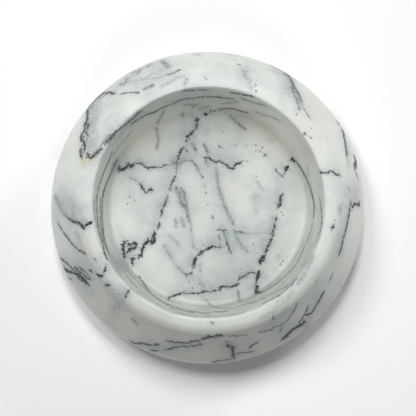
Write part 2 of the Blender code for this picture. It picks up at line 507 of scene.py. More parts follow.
# %% Draw the beads and the blots
VEINS.update({
    "bead_start": vein(
        (282.5, 193.5), (281.6, 196), (280.2, 198), (280.8, 203), (278.5, 207.2),
        width=1.7, ink=1.0, haze=0.6, toward="W", reach=4.0),
    "bead_side": vein(
        (279, 199), (279, 203), (277.4, 207),
        width=1.2, ink=0.7, haze=0.4, toward="W", reach=4.0),
    "bead_dots": vein(
        (277, 216), (276.3, 219), (275.6, 221.5),
        width=1.3, ink=0.9, haze=0.5, toward="W", reach=5.0),
    "bead_upper": vein(
        (275.2, 223), (274.5, 226), (273.8, 229.5), (273.2, 232), (273, 234.5), (272, 237.5),
        width=1.2, ink=0.95, haze=0.6, toward="W", reach=5.0),
    "bead_lower": vein(
        (272, 237.5), (270.5, 241.5), (268.5, 246), (266.8, 250), (265.5, 253.5),
        width=1.3, ink=1.0, haze=0.8, toward="W", reach=5.5, grains=0.7),
    "bead_cluster": vein(
        (264.8, 255.5), (262.5, 258.5), (260.5, 261), (260, 263.5),
        width=3.4, ink=1.0, haze=0.7, reach=5.0, grains=0.9),
    "blot_one": vein(
        (259.5, 270.5), (258.3, 273), (257.3, 276.5), (256.8, 279),
        width=3.4, ink=1.0, haze=0.5),
    "blot_link": vein((256.8, 279), (256.6, 284), (256.4, 290), width=1.4, ink=0.95, haze=0.4),
    "blot_two": vein(
        (256.5, 285), (256.5, 290), (257, 293.5), (261, 292.5),
        width=3.6, ink=1.0, haze=0.3),
    "upper_right_two": vein((274.3, 168), (277, 171.5), (280, 175), (283, 177), width=1.2, ink=0.75),
    "upper_right_three": vein((263.3, 153.3), (266.7, 156.7), width=1.3, ink=0.75),
    "corner_blot": vein((288, 166), (286.2, 169), (285.4, 171), width=3.2, ink=1.0, haze=0.4),
    "corner_blot_foot": vein((284.8, 173.4), (284.4, 174.2), width=1.6, ink=0.9),
})
print("veins of the floor:", len(VEINS))

# %% [markdown]
# ### Veins of the inner wall
#
# The wall is steep, so from above it is a narrow ring. It cuts the stone's flat bedding almost
# level, and the beds show on it as long, thin lines that run round the bowl.

# %% Draw the left wall's veins
VEINS.update({
    "wall_left_outer": vein(
        (94.8, 198), (94.2, 206), (94.4, 214), (96.2, 222), (98, 230), (99.5, 235),
        width=1.7, ink=0.7),
    "wall_left_long": vein(
        (112, 152), (108, 163), (104, 172), (101, 180), (98.5, 188), (97, 197), (96.7, 206), (97, 215),
        (98.5, 225), (100, 235), (102.5, 245), (105, 254), (107, 259),
        width=2.5, ink=0.9),
    "wall_left_short": vein(
        (100.3, 198), (100.3, 206), (100.3, 215), (101, 225), (102, 235), (104, 245),
        width=2.0),
    "wall_left_dark": vein(
        (118, 159.5), (116, 162), (113, 169), (110, 176), (107, 182), (105, 188), (103.3, 193),
        (102.5, 200), (102, 210), (102.3, 220), (103.3, 230), (104.5, 240), (107, 249), (110, 256),
        width=2.6, ink=0.95, haze=0.3),
    "wall_left_double": vein((115.5, 160), (113, 164), (111, 169.5), width=1.4, ink=0.7),
    "wall_left_upper": vein(
        (112, 160), (114, 154), (117, 149), (122, 142.5), (127, 137), (133, 130),
        width=1.6, ink=0.5),
})
print("veins so far:", len(VEINS))

# %% Draw the far wall's veins
VEINS.update({
    "wall_far_long": vein(
        (131, 125), (133, 123), (138, 119.5), (143, 116.5), (148, 114), (155, 112), (160, 109),
        (165, 106.5), (170, 105), (175, 102.5), (180, 100.5), (185, 99), (190, 98.5), (195, 97.8),
        (200, 97), (206, 96.7), (212, 97), (218, 97), (224, 98), (230, 98.5), (234, 99),
        width=2.2, ink=0.9, haze=0.3),
    "wall_far_right": vein(
        (240, 98), (245, 99.5), (250, 101.5), (256, 103), (263, 105), (268, 107),
        width=1.6, ink=0.65, haze=0.2),
    "wall_far_dark": vein(
        (230, 92.5), (235, 93), (240, 94), (246, 95.5), (250, 96), (254, 97),
        width=2.2, ink=0.95),
    "wall_far_low": vein(
        (218, 109.5), (223, 109), (228, 108.5), (234, 109), (239, 110.5), (244, 112), (248, 112.5),
        width=2.0, ink=0.85),
    "wall_far_low_end": vein(
        (254, 112), (260, 113.5), (263, 115), (268, 116), (272, 117), (276, 119), (281, 122.5),
        width=1.4, ink=0.6),
    "wall_far_faint": vein((222, 104), (230, 102.5), (238, 101.5), width=1.6, ink=0.51, soft=True),
    "wall_far_smudge": vein(
        (185, 105), (192, 104), (193, 107), (198, 104),
        width=2.0, ink=0.59, soft=True),
    "wall_far_foot": vein((200, 108.5), (209, 106), width=1.6, ink=0.59, soft=True),
})
print("veins so far:", len(VEINS))

# %% Draw the right wall's veins
VEINS.update({
    "wall_right_blot": vein((290, 160.3), (293, 159.6), (295.5, 161), width=3.2, ink=1.0),
    "wall_right_long": vein(
        (296, 161), (300, 167), (304, 174), (307, 180), (310, 187), (312, 194), (313.5, 200),
        (314.2, 206), (314, 212), (313.5, 218),
        width=2.7, ink=0.95),
    "wall_right_upright": vein(
        (307.5, 165), (307.5, 170), (308, 174), (309, 176.5),
        width=1.2, ink=0.5),
    "wall_right_low": vein(
        (312.5, 224), (310, 232), (308, 238), (306, 244), (303, 250), (299.5, 258), (295, 266),
        (290, 271), (285, 276), (280, 281), (273, 286), (268, 289), (263, 292), (258, 293.5),
        width=2.2, ink=0.75),
    "wall_right_outer": vein(
        (319.5, 198), (320.5, 205), (321.5, 212), (321.8, 220), (321, 228), (319, 235),
        width=2.0, ink=0.7),
    "wall_right_faint": vein((318, 238), (316, 243), (314, 248), width=1.4, ink=0.42, soft=True),
})
print("veins so far:", len(VEINS))

# %% Draw the near wall's veins
VEINS.update({
    "wall_near_outer": vein(
        (138.5, 276), (144, 283), (148, 290), (152, 294), (155, 296), (160, 300), (165, 303.5),
        (170, 306), (175, 308.5), (182, 310), (190, 312), (195, 313),
        width=2.1),
    "wall_near_inner": vein(
        (141, 280), (146, 288), (152, 295), (160, 301), (167, 303), (173, 306), (180, 308.5),
        (188, 310.5),
        width=1.7, ink=0.7),
    "wall_near_middle": vein(
        (188, 310.5), (195, 311.5), (203, 313), (210, 312.5), (215, 311.5), (222, 312), (228, 311),
        width=1.8, ink=0.75),
    "wall_near_low": vein(
        (205.5, 299.5), (209, 304), (214, 307), (220, 308), (228, 308.5), (235, 308), (242, 305.5),
        (248, 303.5), (256, 302),
        width=1.7, ink=0.6),
    "wall_near_right": vein(
        (260, 299), (266, 298), (272, 294), (278, 290.5), (284, 288), (289, 285),
        width=1.7, ink=0.6),
    "wall_near_stub": vein((204, 313.5), (210, 315.5), width=1.4, ink=0.7),
    "wall_near_left_one": vein(
        (116, 262), (121, 269), (127, 276), (133, 283), (138, 288),
        width=2.0, ink=0.5, haze=0.4, reach=4.0, soft=True),
    "wall_near_left_two": vein(
        (121, 262), (127, 270), (134, 277.5), (141, 285), (147, 291),
        width=1.8, ink=0.55, haze=0.4, reach=4.0, soft=True),
    "wall_near_bottom": vein(
        (170, 309), (182, 313.5), (196, 316), (210, 317), (224, 316), (236, 314),
        width=1.6, ink=0.4, soft=True),
    "wall_near_right_two": vein(
        (262, 303), (272, 299), (282, 293), (291, 285), (298, 277),
        width=1.7, ink=0.6),
    "wall_near_right_three": vein(
        (298, 283), (304, 274), (309, 265), (313, 256),
        width=1.6, ink=0.5, soft=True),
    "wall_near_end": vein((300, 268), (303, 265), (306, 262), width=1.4, ink=0.51, soft=True),
})
print("with the wall's veins:", len(VEINS))

# %% [markdown]
# ### Veins of the rim and the flank
#
# On the outside some veins run straight out over the rim and down the flank, and some lie
# along the slope. At the upper left a black line follows the widest ring, with loops and beads,
# and beside it lies a rusty patch with a line of its own.

# %% Draw the upper left's veins
VEINS.update({
    "rim_line": vein(
        (138.5, 92.7), (134, 92.4), (130, 92.3), (126, 92.9), (120.5, 94),
        width=2.0, ink=0.85, grains=0.0),
    "rim_dots": vein(
        (115.5, 93.5), (112, 93.8), (109.5, 92.4), (107.5, 93), (105, 95),
        width=2.4, ink=0.95, haze=0.4, grains=0.8),
    "edge_line": vein(
        (106, 92.5), (103, 93.5), (100.5, 95), (97, 98), (93.5, 102), (90.5, 105), (88.3, 108.3),
        width=1.6, ink=0.9, haze=0.6, toward="E", reach=8.0, grains=1.0),
    "edge_loop": vein((105, 96), (101, 98.5), (98, 100), ink=0.5, grains=0.9),
    "side_upper": vein(
        (88.3, 108.3), (87.2, 111), (87.8, 114), (87.2, 117), (87.6, 120), (85.2, 122.8), (84.6, 126),
        (84.6, 130), (82.6, 134),
        width=1.7, ink=0.9, haze=0.75, toward="E", reach=11.0, grains=1.0),
    "side_spur": vein(
        (84.2, 122.6), (86.5, 124.3), (89, 125), (87.5, 127.5), (88.2, 130),
        width=1.5, ink=0.85, grains=1.0),
    "side_spur_low": vein(
        (84.6, 131), (86.8, 133.4), (88.2, 136.5), (86.5, 139.5),
        width=1.2, ink=0.7, grains=1.0),
    "side_beads": vein((81.2, 134), (81, 138), (83, 141), width=3.2, ink=1.0, grains=0.8),
    "side_lower": vein(
        (83.5, 141), (84.8, 145), (85, 149), (84, 152),
        width=2.6, ink=0.95, haze=0.7, toward="E", reach=11.0, grains=0.9),
    "side_tick": vein((81, 147), (80.3, 151), (81, 155), (82, 158.5), width=3.0, ink=1.0, grains=0.7),
    "rust_edge_two": vein((86.3, 153), (88, 152.8), (89, 155), (87.5, 157.5), width=1.8, ink=0.95),
    "rust_line": vein(
        (89, 157.5), (92, 157.5), (94.5, 155.5), (96.5, 152.5), (99, 151.5), (101.5, 150),
        width=1.9, ink=0.95, haze=0.5, grains=0.8),
    "lip_black": vein(
        (142, 110), (138, 113.5), (135, 117), (130, 121), (126, 124), (122, 127), (118.5, 130),
        width=2.0, ink=1.0, haze=0.55, reach=6.0),
    "lip_speckles": vein(
        (118.5, 130), (114.5, 133), (111, 137), (107.5, 141), (105, 144.5),
        width=1.1, haze=0.6, toward="W", grains=1.0),
    "lip_speckles_two": vein((112, 134), (107, 138), (103.5, 143), (100, 146.5), ink=0.5, grains=1.0),
})
print("veins so far:", len(VEINS))

# %% [markdown]
# The far side faces the strongest lamp and is the brightest part of the stone, and its rim is also
# lightened with painted light. Its veins are short, soft streaks.

# %% Draw the far side's streaks
VEINS.update({
    "cloud_streak_one": vein(
        (127, 78), (126, 82), (124, 84.5), (120, 84),
        width=1.4, ink=0.95, soft=True),
    "cloud_streak_two": vein((137, 75), (139, 71), (141, 69), width=1.4, ink=0.94, soft=True),
    "cloud_streak_three": vein((148, 67), (150, 64), width=1.4, ink=0.94, soft=True),
    "cloud_streak_four": vein((144, 89), (148, 87), (153, 86), width=1.5, ink=0.85, soft=True),
    "cloud_band_one": vein((128, 82), (140, 80), (150, 78.5), (160, 78), width=1.5, ink=0.5, soft=True),
    "cloud_band_two": vein(
        (131, 73), (138, 71), (144, 68), (152, 64.5),
        width=1.8, ink=0.45, soft=True),
    "cloud_band_three": vein(
        (143, 80), (150, 75), (158, 71), (166, 69), (172, 66),
        width=1.6, ink=0.45, soft=True),
    "cloud_band_four": vein((160, 87), (170, 82), (178, 77), (184, 76), width=1.4, ink=0.35, soft=True),
    "far_smudge_one": vein((162, 61), (165, 63.5), (167.5, 67), width=2.2, ink=0.95, soft=True),
    "far_line": vein(
        (180.5, 69), (177, 71.5), (172, 73.5), (166, 75.5),
        width=1.8, haze=0.4, grains=0.8),
    "far_dash": vein((187, 79), (185, 84), width=1.2, ink=0.59, soft=True),
    "far_edge_dash": vein((194, 54), (198, 55), (200, 56), width=1.6, ink=0.6),
    "far_dots": vein((205, 77), (207, 79), width=1.3, ink=0.65),
    "far_dash_right": vein((242, 70), (245, 74), (246, 78), width=1.3, ink=0.55, soft=True),
    "far_smudge_two": vein((249, 80), (252, 90), width=2.4, ink=0.28, soft=True),
    # These two soft lines are painted shade on the far lip's inner edge.
    "far_lip_painted_shade_one": vein((185, 90.5), (193, 90.5), width=1.8, ink=0.94, soft=True),
    "far_lip_painted_shade_two": vein((200, 90), (207, 90), width=1.8, ink=0.85, soft=True),
})
print("veins so far:", len(VEINS))

# %% [markdown]
# On the right one vein comes in from the far edge over the rim, and others follow the
# flank for a long way.

# %% Draw the right side's veins
VEINS.update({
    "right_crest": vein(
        (270, 65), (278, 69), (284, 72), (288, 75), (290, 77),
        width=1.2, ink=0.6, haze=0.35, toward="S"),
    "right_main": vein(
        (287.5, 74), (291, 79.5), (292.5, 83), (294, 87), (297, 91), (300, 96), (302, 101),
        (303.5, 102),
        width=1.6, ink=0.85, haze=0.65, toward="W", reach=10.0, grains=0.7),
    "right_inner": vein(
        (291.5, 86), (293, 92), (295, 96), (297, 101), (298.5, 106), (300, 111),
        width=1.2, ink=0.7, haze=0.5, toward="W", reach=8.0, grains=0.7),
    "right_band": vein(
        (291, 80), (294, 88), (297.5, 96), (300, 103),
        width=2.56, ink=0.7, soft=True, grains=0.7),
    "right_tail": vein(
        (303, 107), (305, 111), (307.5, 114.5), (310, 118.5),
        width=1.28, ink=0.85, grains=0.7),
    "right_streak": vein((283, 73), (287, 77), width=0.96, ink=0.6, grains=0.7),
    "right_flank": vein(
        (337, 122), (340, 125), (342.5, 129), (343.5, 135), (344.8, 141), (345.5, 146), (346.5, 152),
        (346.5, 156),
        width=2.7, ink=1.0, haze=0.5, toward="E", reach=6.0),
    "right_flank_end": vein((346.5, 156), (348, 162), (349, 166), width=1.3, ink=0.6),
    "right_rim_line": vein(
        (319.5, 170.5), (321.5, 173), (324, 173), (327, 173), (329, 171.5), (332, 172), (335, 174),
        (338, 174.5), (341, 176.5),
        width=1.8, ink=0.85, haze=0.4, toward="N"),
    "right_edge": vein((354, 156), (356, 161), (355, 165), (354.5, 169), width=5.5, ink=1.0),
    "right_edge_low": vein((355.5, 172), (357, 176), (358.5, 180), width=1.8, ink=0.9),
    "right_edge_dash": vein((348.5, 187), (350, 191), width=1.4, ink=0.7),
    "right_hook": vein(
        (350, 200), (350.5, 203), (352.5, 207.5), (354.5, 204.5), (357, 204), (359, 205.5), (360, 201),
        width=2.1, ink=1.0, haze=0.6, toward="N", reach=10.0),
    "right_long": vein(
        (350, 204), (349.7, 210), (348.5, 218), (347, 225), (345, 233), (343, 240), (342, 246),
        (340.5, 251), (338.5, 256),
        width=2.7, ink=1.0, haze=0.6, toward="W", reach=8.0),
    "right_dash_one": vein((333.5, 225), (331.5, 230), width=2.2, ink=0.9),
    "right_dash_two": vein((340, 207), (339.8, 213), width=1.8, ink=0.51, soft=True),
})
print("veins so far:", len(VEINS))

# %% [markdown]
# On the left a vein slants in over the flank up to the lip.

# %% Draw the left side's veins
VEINS.update({
    "left_rim": vein(
        (67.5, 217), (70, 220), (72.5, 221), (75, 222.3), (79, 223), (81.5, 226), (84, 227.7),
        (86.5, 225), (89, 224), (91.5, 221),
        width=1.7, ink=1.0, haze=0.75, toward="N", reach=12.0, grains=0.8),
    "left_rim_start": vein(
        (55, 196), (57, 201), (60, 207), (63.5, 213), (67, 216.5),
        width=2.4, ink=0.6, haze=0.5, toward="N", reach=10.0, soft=True),
    "left_flank": vein(
        (57.5, 223), (60, 227), (63, 232), (67, 237), (70.5, 242), (74, 246), (78, 249.5), (80.5, 251),
        (86, 254.5),
        width=1.8, ink=0.9, haze=0.3, toward="E"),
    "left_tick": vein((75, 232), (77, 235), (80, 240), width=1.2, ink=0.5),
})
print("veins so far:", len(VEINS))

# %% [markdown]
# At the lower left several strands run together into a thick, dark vein.

# %% Draw the lower left's veins
VEINS.update({
    "low_left_thin": vein((60, 258.5), (63, 260), (68, 264), (72, 268), (75, 272), width=1.7, ink=0.95),
    "low_left_thick": vein(
        (74.5, 273), (78, 275.3), (81.5, 277.8), (85, 281), (88.3, 284.4),
        width=5.6, ink=1.0, haze=0.6, reach=8.0, grains=0.9),
    "low_left_start": vein(
        (63.5, 267.8), (66, 270), (70, 271.7), (75, 273.3),
        width=3.4, ink=0.95, grains=0.7),
    "low_left_strand": vein((74.5, 270.5), (78, 273), (82, 276), (86, 279), width=1.6, ink=0.9),
    "low_left_upper": vein(
        (74, 266.8), (77, 269), (80, 272), (84, 275), (88, 278.5), (91, 279),
        width=1.4, ink=0.9, haze=0.4, grains=0.8),
    "low_left_upper_two": vein(
        (78, 267), (81, 268.5), (85, 271.8), (88, 275), (91.5, 278.3),
        width=1.3, ink=0.85),
    "low_left_dash": vein((68.5, 277.5), (71.5, 279.5), width=1.8, ink=0.9),
    "low_left_rim": vein(
        (95.5, 274), (98, 275), (100, 275.5), (103.5, 275.5),
        width=2.8, ink=1.0, haze=0.3),
    "low_left_blob": vein((89.5, 270.5), (92, 271), width=2.8, ink=1.0, grains=0.8),
    "low_left_dots": vein((105, 285.5), (107.5, 284), (110, 285), width=1.8, ink=0.9, grains=0.9),
    "low_left_hook": vein((104, 272), (105.5, 269), (106, 265.5), width=1.6, ink=0.9),
    "low_left_ticks": vein((94, 258), (97, 262), width=1.4, ink=0.6),
    "low_rim_line": vein(
        (130, 289.5), (128, 291.5), (126, 295), (125.5, 298),
        width=1.3, haze=0.5, toward="W", reach=9.0),
    "low_drop": vein((107, 283), (107, 286), width=1.4),
    "low_flank_dash": vein((133, 319), (137, 324.5), width=1.5, ink=0.85, soft=True),
})
print("veins so far:", len(VEINS))

# %% [markdown]
# The near flank lies in shade. Thin, level lines run along it, and a smudge crosses them.

# %% Draw the near side's veins
VEINS.update({
    "near_left_line": vein(
        (130, 341), (133, 342.5), (137, 343.5), (142, 343), (146, 344), (150, 344.5), (152.5, 345.5),
        (156, 344.5), (160, 344.2),
        width=2.6, ink=1.0, haze=0.5, toward="S"),
    "near_line_one": vein(
        (167, 341), (170, 341.5), (175, 342.5), (180, 342.5), (185, 343), (190, 342.5), (193, 341.2),
        (197, 341), (201, 339.8),
        width=2.9, ink=0.95, haze=0.5, toward="S"),
    "near_line_two": vein(
        (201, 339.8), (206, 338), (211, 336.5), (216, 336.5), (220, 335.5), (223.5, 335.5),
        width=4.2, ink=1.0, haze=0.4),
    "near_line_three": vein(
        (228, 336.5), (233, 335.8), (238, 336), (241, 335.2), (247, 335.5),
        width=2.1),
    "near_low_one": vein(
        (163, 350), (168, 349.5), (174, 347.5), (180, 346.5), (186, 346.5), (192, 346.2), (196, 345.5),
        (200, 344.2), (203, 343.8),
        width=2.0, ink=0.9, haze=0.5, toward="S"),
    "near_low_two": vein((150, 350.2), (155, 350.5), (159, 350.8), width=1.8, ink=0.85),
    "near_smudge": vein(
        (227, 344), (229, 347), (233, 346.5), (232.5, 351), (233, 354.5), (233.5, 359),
        width=1.9, ink=0.85, haze=0.5, grains=1.0),
    "near_smudge_head": vein(
        (226, 342), (229.5, 343.5), (232, 345.5),
        width=2.6, ink=0.7, haze=0.4, soft=True),
    "near_right_low": vein(
        (235, 354.5), (240, 353), (245, 352.5), (250, 352), (254, 351.2),
        width=1.9, ink=0.9),
    "near_edge_line": vein((211, 362.5), (218, 361), (226, 360), (232, 359), width=2.0, ink=0.9),
    "near_right_high": vein(
        (248, 349), (250, 348), (252, 345), (255, 343.5), (259, 341.5),
        width=1.7, grains=0.9),
    "near_rim_streak": vein((211, 321.5), (214, 324.5), width=1.4, ink=0.65),
})
print("veins so far:", len(VEINS))

# %% [markdown]
# At the lower right a main vein comes down the flank, breaks off and starts again blacker.

# %% Draw the lower right's veins
VEINS.update({
    "low_right_upper": vein((333, 273.5), (331, 277.5), (329.5, 282.5), width=1.8, ink=0.85),
    "low_right_main": vein(
        (324.5, 290.5), (322.5, 294), (321, 297.5), (319, 301), (316, 306), (313, 311), (310, 315),
        (306, 314),
        width=2.6, ink=1.0, haze=0.5, toward="W"),
    "low_right_side": vein(
        (308, 306), (307, 310), (305, 314), (303, 317), (301, 320), (299.5, 323),
        width=2.3, ink=0.95),
    "low_right_black": vein(
        (282, 340), (287, 335), (291, 331), (295, 328), (299, 326), (303.5, 323), (304, 321),
        width=4.6, ink=1.0, haze=0.5, grains=1.0),
    "low_right_strand": vein(
        (284, 337), (289, 332.5), (294, 329), (299, 324.5),
        width=1.8, ink=0.9, grains=1.0),
    "low_right_curve": vein(
        (297.5, 303), (296, 306), (294.5, 310), (292, 314), (289, 318), (287, 321.5), (284.5, 323.5),
        (281, 325), (278, 326), (275, 326.5), (271, 330), (263, 331.5), (258, 332.5),
        width=1.6, ink=0.75, haze=0.3, toward="W"),
    "low_right_smudge": vein((281.5, 328), (280.5, 331.5), width=1.6, ink=0.85, soft=True),
    "low_right_cloud_one": vein(
        (262, 318), (268, 315), (274, 311), (279, 306),
        width=2.2, ink=0.28, soft=True),
    "low_right_cloud_two": vein(
        (266, 327), (273, 323), (280, 317), (286, 309),
        width=2.2, ink=0.28, soft=True),
    "low_right_cloud_three": vein((283, 302), (288, 298), (292, 293), width=2.0, ink=0.28, soft=True),
})
print("with the outside's veins:", len(VEINS))

# %% [markdown]
# ### Specks
#
# Single dark crystals lie scattered between the veins, inside the bowl and on the rim and the
# flank. Each is a picture point and is about a millimetre across. A third number, where there
# is one, says how many times wider it is.

# %% Add single dark specks
INNER_SPECKS = [
    (222.8, 132.2), (229.4, 145.8), (235.6, 147.8), (243.9, 145), (247.8, 145.6), (245, 151),
    (255.5, 145), (253.3, 152.2), (262.3, 147.2), (260.5, 151.7), (202.8, 177.2), (205, 185.5),
    (206, 192.8), (208, 205), (122.2, 182.8), (130, 197), (134.6, 200.7), (127.2, 204.2),
    (151.5, 192), (159.4, 194.6), (194.5, 247), (197, 249.4), (191, 251.5), (219, 236),
    (264.4, 172.2), (256, 176.8), (240.6, 269), (188.7, 282), (192.5, 288), (200.5, 270.5),
    (238.5, 297), (282.8, 194.6), (280, 197.5), (283, 215.5), (277.5, 255), (280.5, 264.5),
    (282.7, 260.8), (269.4, 260.6), (241.2, 249.6), (266.8, 273.6), (295, 149), (195.5, 292),
    (253, 244), (281.5, 212), (203, 245), (199, 284), (234.5, 145.2), (257, 149.6),
    (259.3, 271.8, 2.6), (258.5, 274.3, 3.2), (257.5, 277, 2.9), (257, 279.5, 1.8),
    (235.5, 145, 1.5),
]
OUTER_SPECKS = [
    (278, 302), (184, 76), (153, 84), (150, 86.6), (168, 70), (235, 60, 1.7), (239, 64.5, 2.6),
    (246.7, 71.6, 1.7), (244.4, 74.8, 1.8), (256, 85, 1.6), (256, 91, 1.7), (224, 57),
    (311.5, 128.5, 1.1), (311, 137.5, 1.6), (305.5, 133.8, 2.2), (296.5, 114, 1.6), (91.5, 271),
    (94.5, 279), (100, 288.5), (106.5, 287.5), (110.4, 284), (94.5, 291), (101.5, 312), (131, 309),
    (136.5, 332), (243, 357.8), (311, 318), (340, 285.5), (316.5, 287), (317, 281), (273, 319),
    (335, 220.5), (84, 138.5), (86, 133), (83, 130), (88.4, 128), (92.5, 107, 2),
    (90.5, 110.5, 1.8), (87.5, 110.5, 1.8), (88.9, 125, 1.8), (82.5, 141, 2), (81.5, 136, 1.8),
    (87.3, 154, 2), (86.3, 157, 1.7), (91, 157, 2.2), (100, 150, 1.9), (94.3, 104.6, 1.4),
    (103, 147.5, 1.3), (105, 145, 1.3), (274, 317.5, 2.6),
]
print("specks:", len(INNER_SPECKS), "inside and", len(OUTER_SPECKS), "outside")

# %% [markdown]
# ### Stains
#
# Between the veins the stone is not one colour. Smoky grey clouds lie near the black veins, a
# bluish haze lies more widely, parts of the stone are creamier, and a few spots are rusty. Each
# stain is a soft ellipse in the picture: its centre x and y, its two half widths in pixels, its
# turn in degrees, and last how strongly it covers the stone.

# %% List the stains
STAINS = {
    "smoke": [
        (132, 77, 22, 13, 35, 0.30), (158, 70, 12, 7, 35, 0.22), (119, 304, 13, 6, -50, 0.40),
        (116, 293, 10, 6, 0, 0.30), (124, 265, 10, 8, 0, 0.35), (306, 327, 5, 5, 0, 0.40),
        (246, 67, 6, 12, 20, 0.20), (110, 139, 8, 10, -40, 0.20), (229, 346, 6, 4, 0, 0.45),
        (174, 161, 8, 5, 0, 0.25), (275, 317, 6, 4, -40, 0.30), (117, 262, 8, 5, 50, 0.30),
        (255, 196.5, 4, 3, 0, 0.30), (256, 211, 2.5, 4, 0, 0.20), (279.5, 256, 4, 5, 0, 0.22),
    ],
    "haze": [
        (70, 206, 13, 12, -20, 0.50), (93, 122, 7, 26, 12, 0.60), (286, 90, 7, 16, 20, 0.40),
        (338, 232, 9, 28, 10, 0.22), (355, 193, 7, 9, 0, 0.40), (228, 157, 13, 4, 10, 0.20),
        (212, 158, 8, 10, 0, 0.15), (128, 252, 7, 12, 0, 0.35), (184, 205, 6, 18, -15, 0.25),
        (158, 346, 24, 6, 0, 0.50), (78, 270, 16, 8, 30, 0.55), (318, 300, 10, 14, 30, 0.30),
        (275, 327, 16, 8, -20, 0.35), (192, 281, 12, 7, 0, 0.20), (236, 272, 10, 8, 0, 0.15),
        (165, 75, 22, 12, 10, 0.25), (176, 162, 12, 6, 0, 0.20), (240, 78, 18, 12, 20, 0.20),
        (170, 172, 5, 10, 0, 0.15), (205, 243, 12, 4, -10, 0.30), (153, 222, 7, 16, 15, 0.25),
        (180, 160, 8, 5, 0, 0.25), (190, 250, 7, 5, 0, 0.15), (268, 238, 6, 20, 15, 0.20),
        (257, 199, 6, 5, 0, 0.30), (256.5, 212, 3, 6, 0, 0.25), (278, 259, 7, 8, 0, 0.15),
        (213, 128, 16, 7, -10, 0.15), (251, 184, 12, 9, 0, 0.22), (165, 183, 8, 8, 0, 0.25),
        (148, 98, 9, 6, -30, 0.20), (103, 264, 7, 9, -40, 0.45), (84, 212, 8, 9, 0, 0.35),
        (270, 140, 5, 3, 0, 0.25), (207, 130, 3, 10, 5, 0.20), (280, 186, 12, 17, 0, 0.22),
        (128, 190, 8, 14, 0, 0.15), (140, 220, 9, 14, 0, 0.15),
    ],
    "cream": [
        (90, 248, 10, 9, 0, 0.45), (60, 150, 8, 26, 10, 0.30), (322, 92, 14, 24, -40, 0.40),
        (318, 112, 20, 34, -25, 0.60), (352, 260, 12, 30, 15, 0.25), (108, 200, 8, 34, 0, 0.30),
        (70, 140, 10, 26, 20, 0.30), (144, 133, 32, 16, -42, 0.75), (262, 128, 34, 15, 35, 0.70),
        (232, 188, 20, 14, 0, 0.30), (300, 150, 14, 30, -25, 0.50), (207, 106, 60, 9, 0, 0.40),
        (300, 216, 10, 50, 0, 0.35), (128, 208, 14, 8, 0, 0.25), (358, 205, 9, 55, 0, 0.30),
        (215, 351, 90, 12, 0, 0.30),
    ],
    "rust": [(84, 162.5, 2.6, 4.5, 0, 0.8), (88.8, 160, 1.8, 3.2, 0, 0.8), (86, 157, 4, 2, 0, 0.5),
             (259.5, 267.5, 2.2, 2.2, 0, 0.75)],
}
print("stains:", {kind: len(spots) for kind, spots in STAINS.items()})

# %% [markdown]
# ## Measure the stone against the veins
#
# The mesh is too coarse to paint a line one millimetre wide on its points. So each point holds
# its distance to the nearest vein instead. A distance changes evenly from point to point, so
# it stays true in between, and the material can cut a sharp line out of it.
#
# First each drawn path becomes a row of short steps on the stone itself.

# %% Follow each vein over the stone
STITCH_PIXELS = 1.5


def on_the_stone(found):
    """Spots and normals as two arrays, without the rays that met no stone."""
    met = [(spot, normal) for spot, normal in found if spot is not None]
    return np.array([spot for spot, normal in met]), np.array([normal for spot, normal in met])


def walk(points):
    """The spots and the normals of the stone behind a line of picture points."""
    found = []
    for (x0, y0), (x1, y1) in zip(points, points[1:]):
        steps = max(1, math.ceil(math.dist((x0, y0), (x1, y1)) / STITCH_PIXELS))
        found += [seen_spot(x0 + (x1 - x0) * i / steps, y0 + (y1 - y0) * i / steps)
                  for i in range(steps)]
    found.append(seen_spot(*points[-1]))
    return on_the_stone(found)


def haze_side(points, toward):
    """+1 where the haze lies on the left of the way the vein is drawn, -1 on the right."""
    if not toward:
        return 0
    along = (points[-1][0] - points[0][0], points[-1][1] - points[0][1])
    aside = COMPASS[toward]
    return 1 if along[0] * aside[1] - along[1] * aside[0] < 0 else -1


for facts in VEINS.values():
    facts["spots"], facts["normals"] = walk(facts["points"])
    facts["side"] = haze_side(facts["points"], facts["toward"])
print("short steps:", sum(len(facts["spots"]) for facts in VEINS.values()))

# %% [markdown]
# ### Veins that nobody saw
#
# The picture ends at the widest ring, but the stone doesn't. Each vein that runs off that ring
# goes on round the base and wanders a little way over the underside. A number says which end
# of the drawn vein runs off: 0 is its first point and -1 its last.

# %% Let the veins run on underneath
RUN_OFFS = {
    "edge_line": 0, "left_rim": 0, "left_flank": 0, "low_left_thin": 0, "low_left_thick": 0,
    "near_left_line": 0, "near_smudge": -1, "near_edge_line": 0, "low_right_main": -1,
    "low_right_upper": 0, "right_flank": 0, "right_edge_low": -1, "right_long": -1,
    "right_crest": 0, "far_edge_dash": 0, "far_smudge_one": 0, "right_hook": -1,
}
UNDER_STEP = 3.0 * MM
UNDER_START = OUTER_RADIUS - 0.2 * MM
SHORTEST_RUN = 0.04
LONGEST_RUN = 0.15
MOST_SLANT = 0.8
WANDER = 0.35
FEWEST_SPOTS = 3
SEED = 5
dice = random.Random(SEED)


def run_on(start, length):
    """Table points of a vein that starts at the widest ring and wanders inwards."""
    angle = math.atan2(start[1], start[0])
    place = Vector((math.cos(angle), math.sin(angle))) * UNDER_START
    heading = angle + math.pi + dice.uniform(-MOST_SLANT, MOST_SLANT)
    points = [tuple(place)]
    for i in range(round(length / UNDER_STEP)):
        heading += dice.gauss(0, WANDER)
        place = place + Vector((math.cos(heading), math.sin(heading))) * UNDER_STEP
        if place.length > UNDER_START:
            break
        points.append(tuple(place))
    return points


for name, end in RUN_OFFS.items():
    seen = VEINS[name]
    points = run_on(seen["spots"][end], dice.uniform(SHORTEST_RUN, LONGEST_RUN))
    below = dict(seen, points=points, side=dice.choice((-1, 1)), soft=False)
    below["spots"], below["normals"] = on_the_stone([spot_above(x, y) for x, y in points])
    if len(below["spots"]) >= FEWEST_SPOTS:
        VEINS[name + "_below"] = below
print("veins with the hidden ones:", len(VEINS))

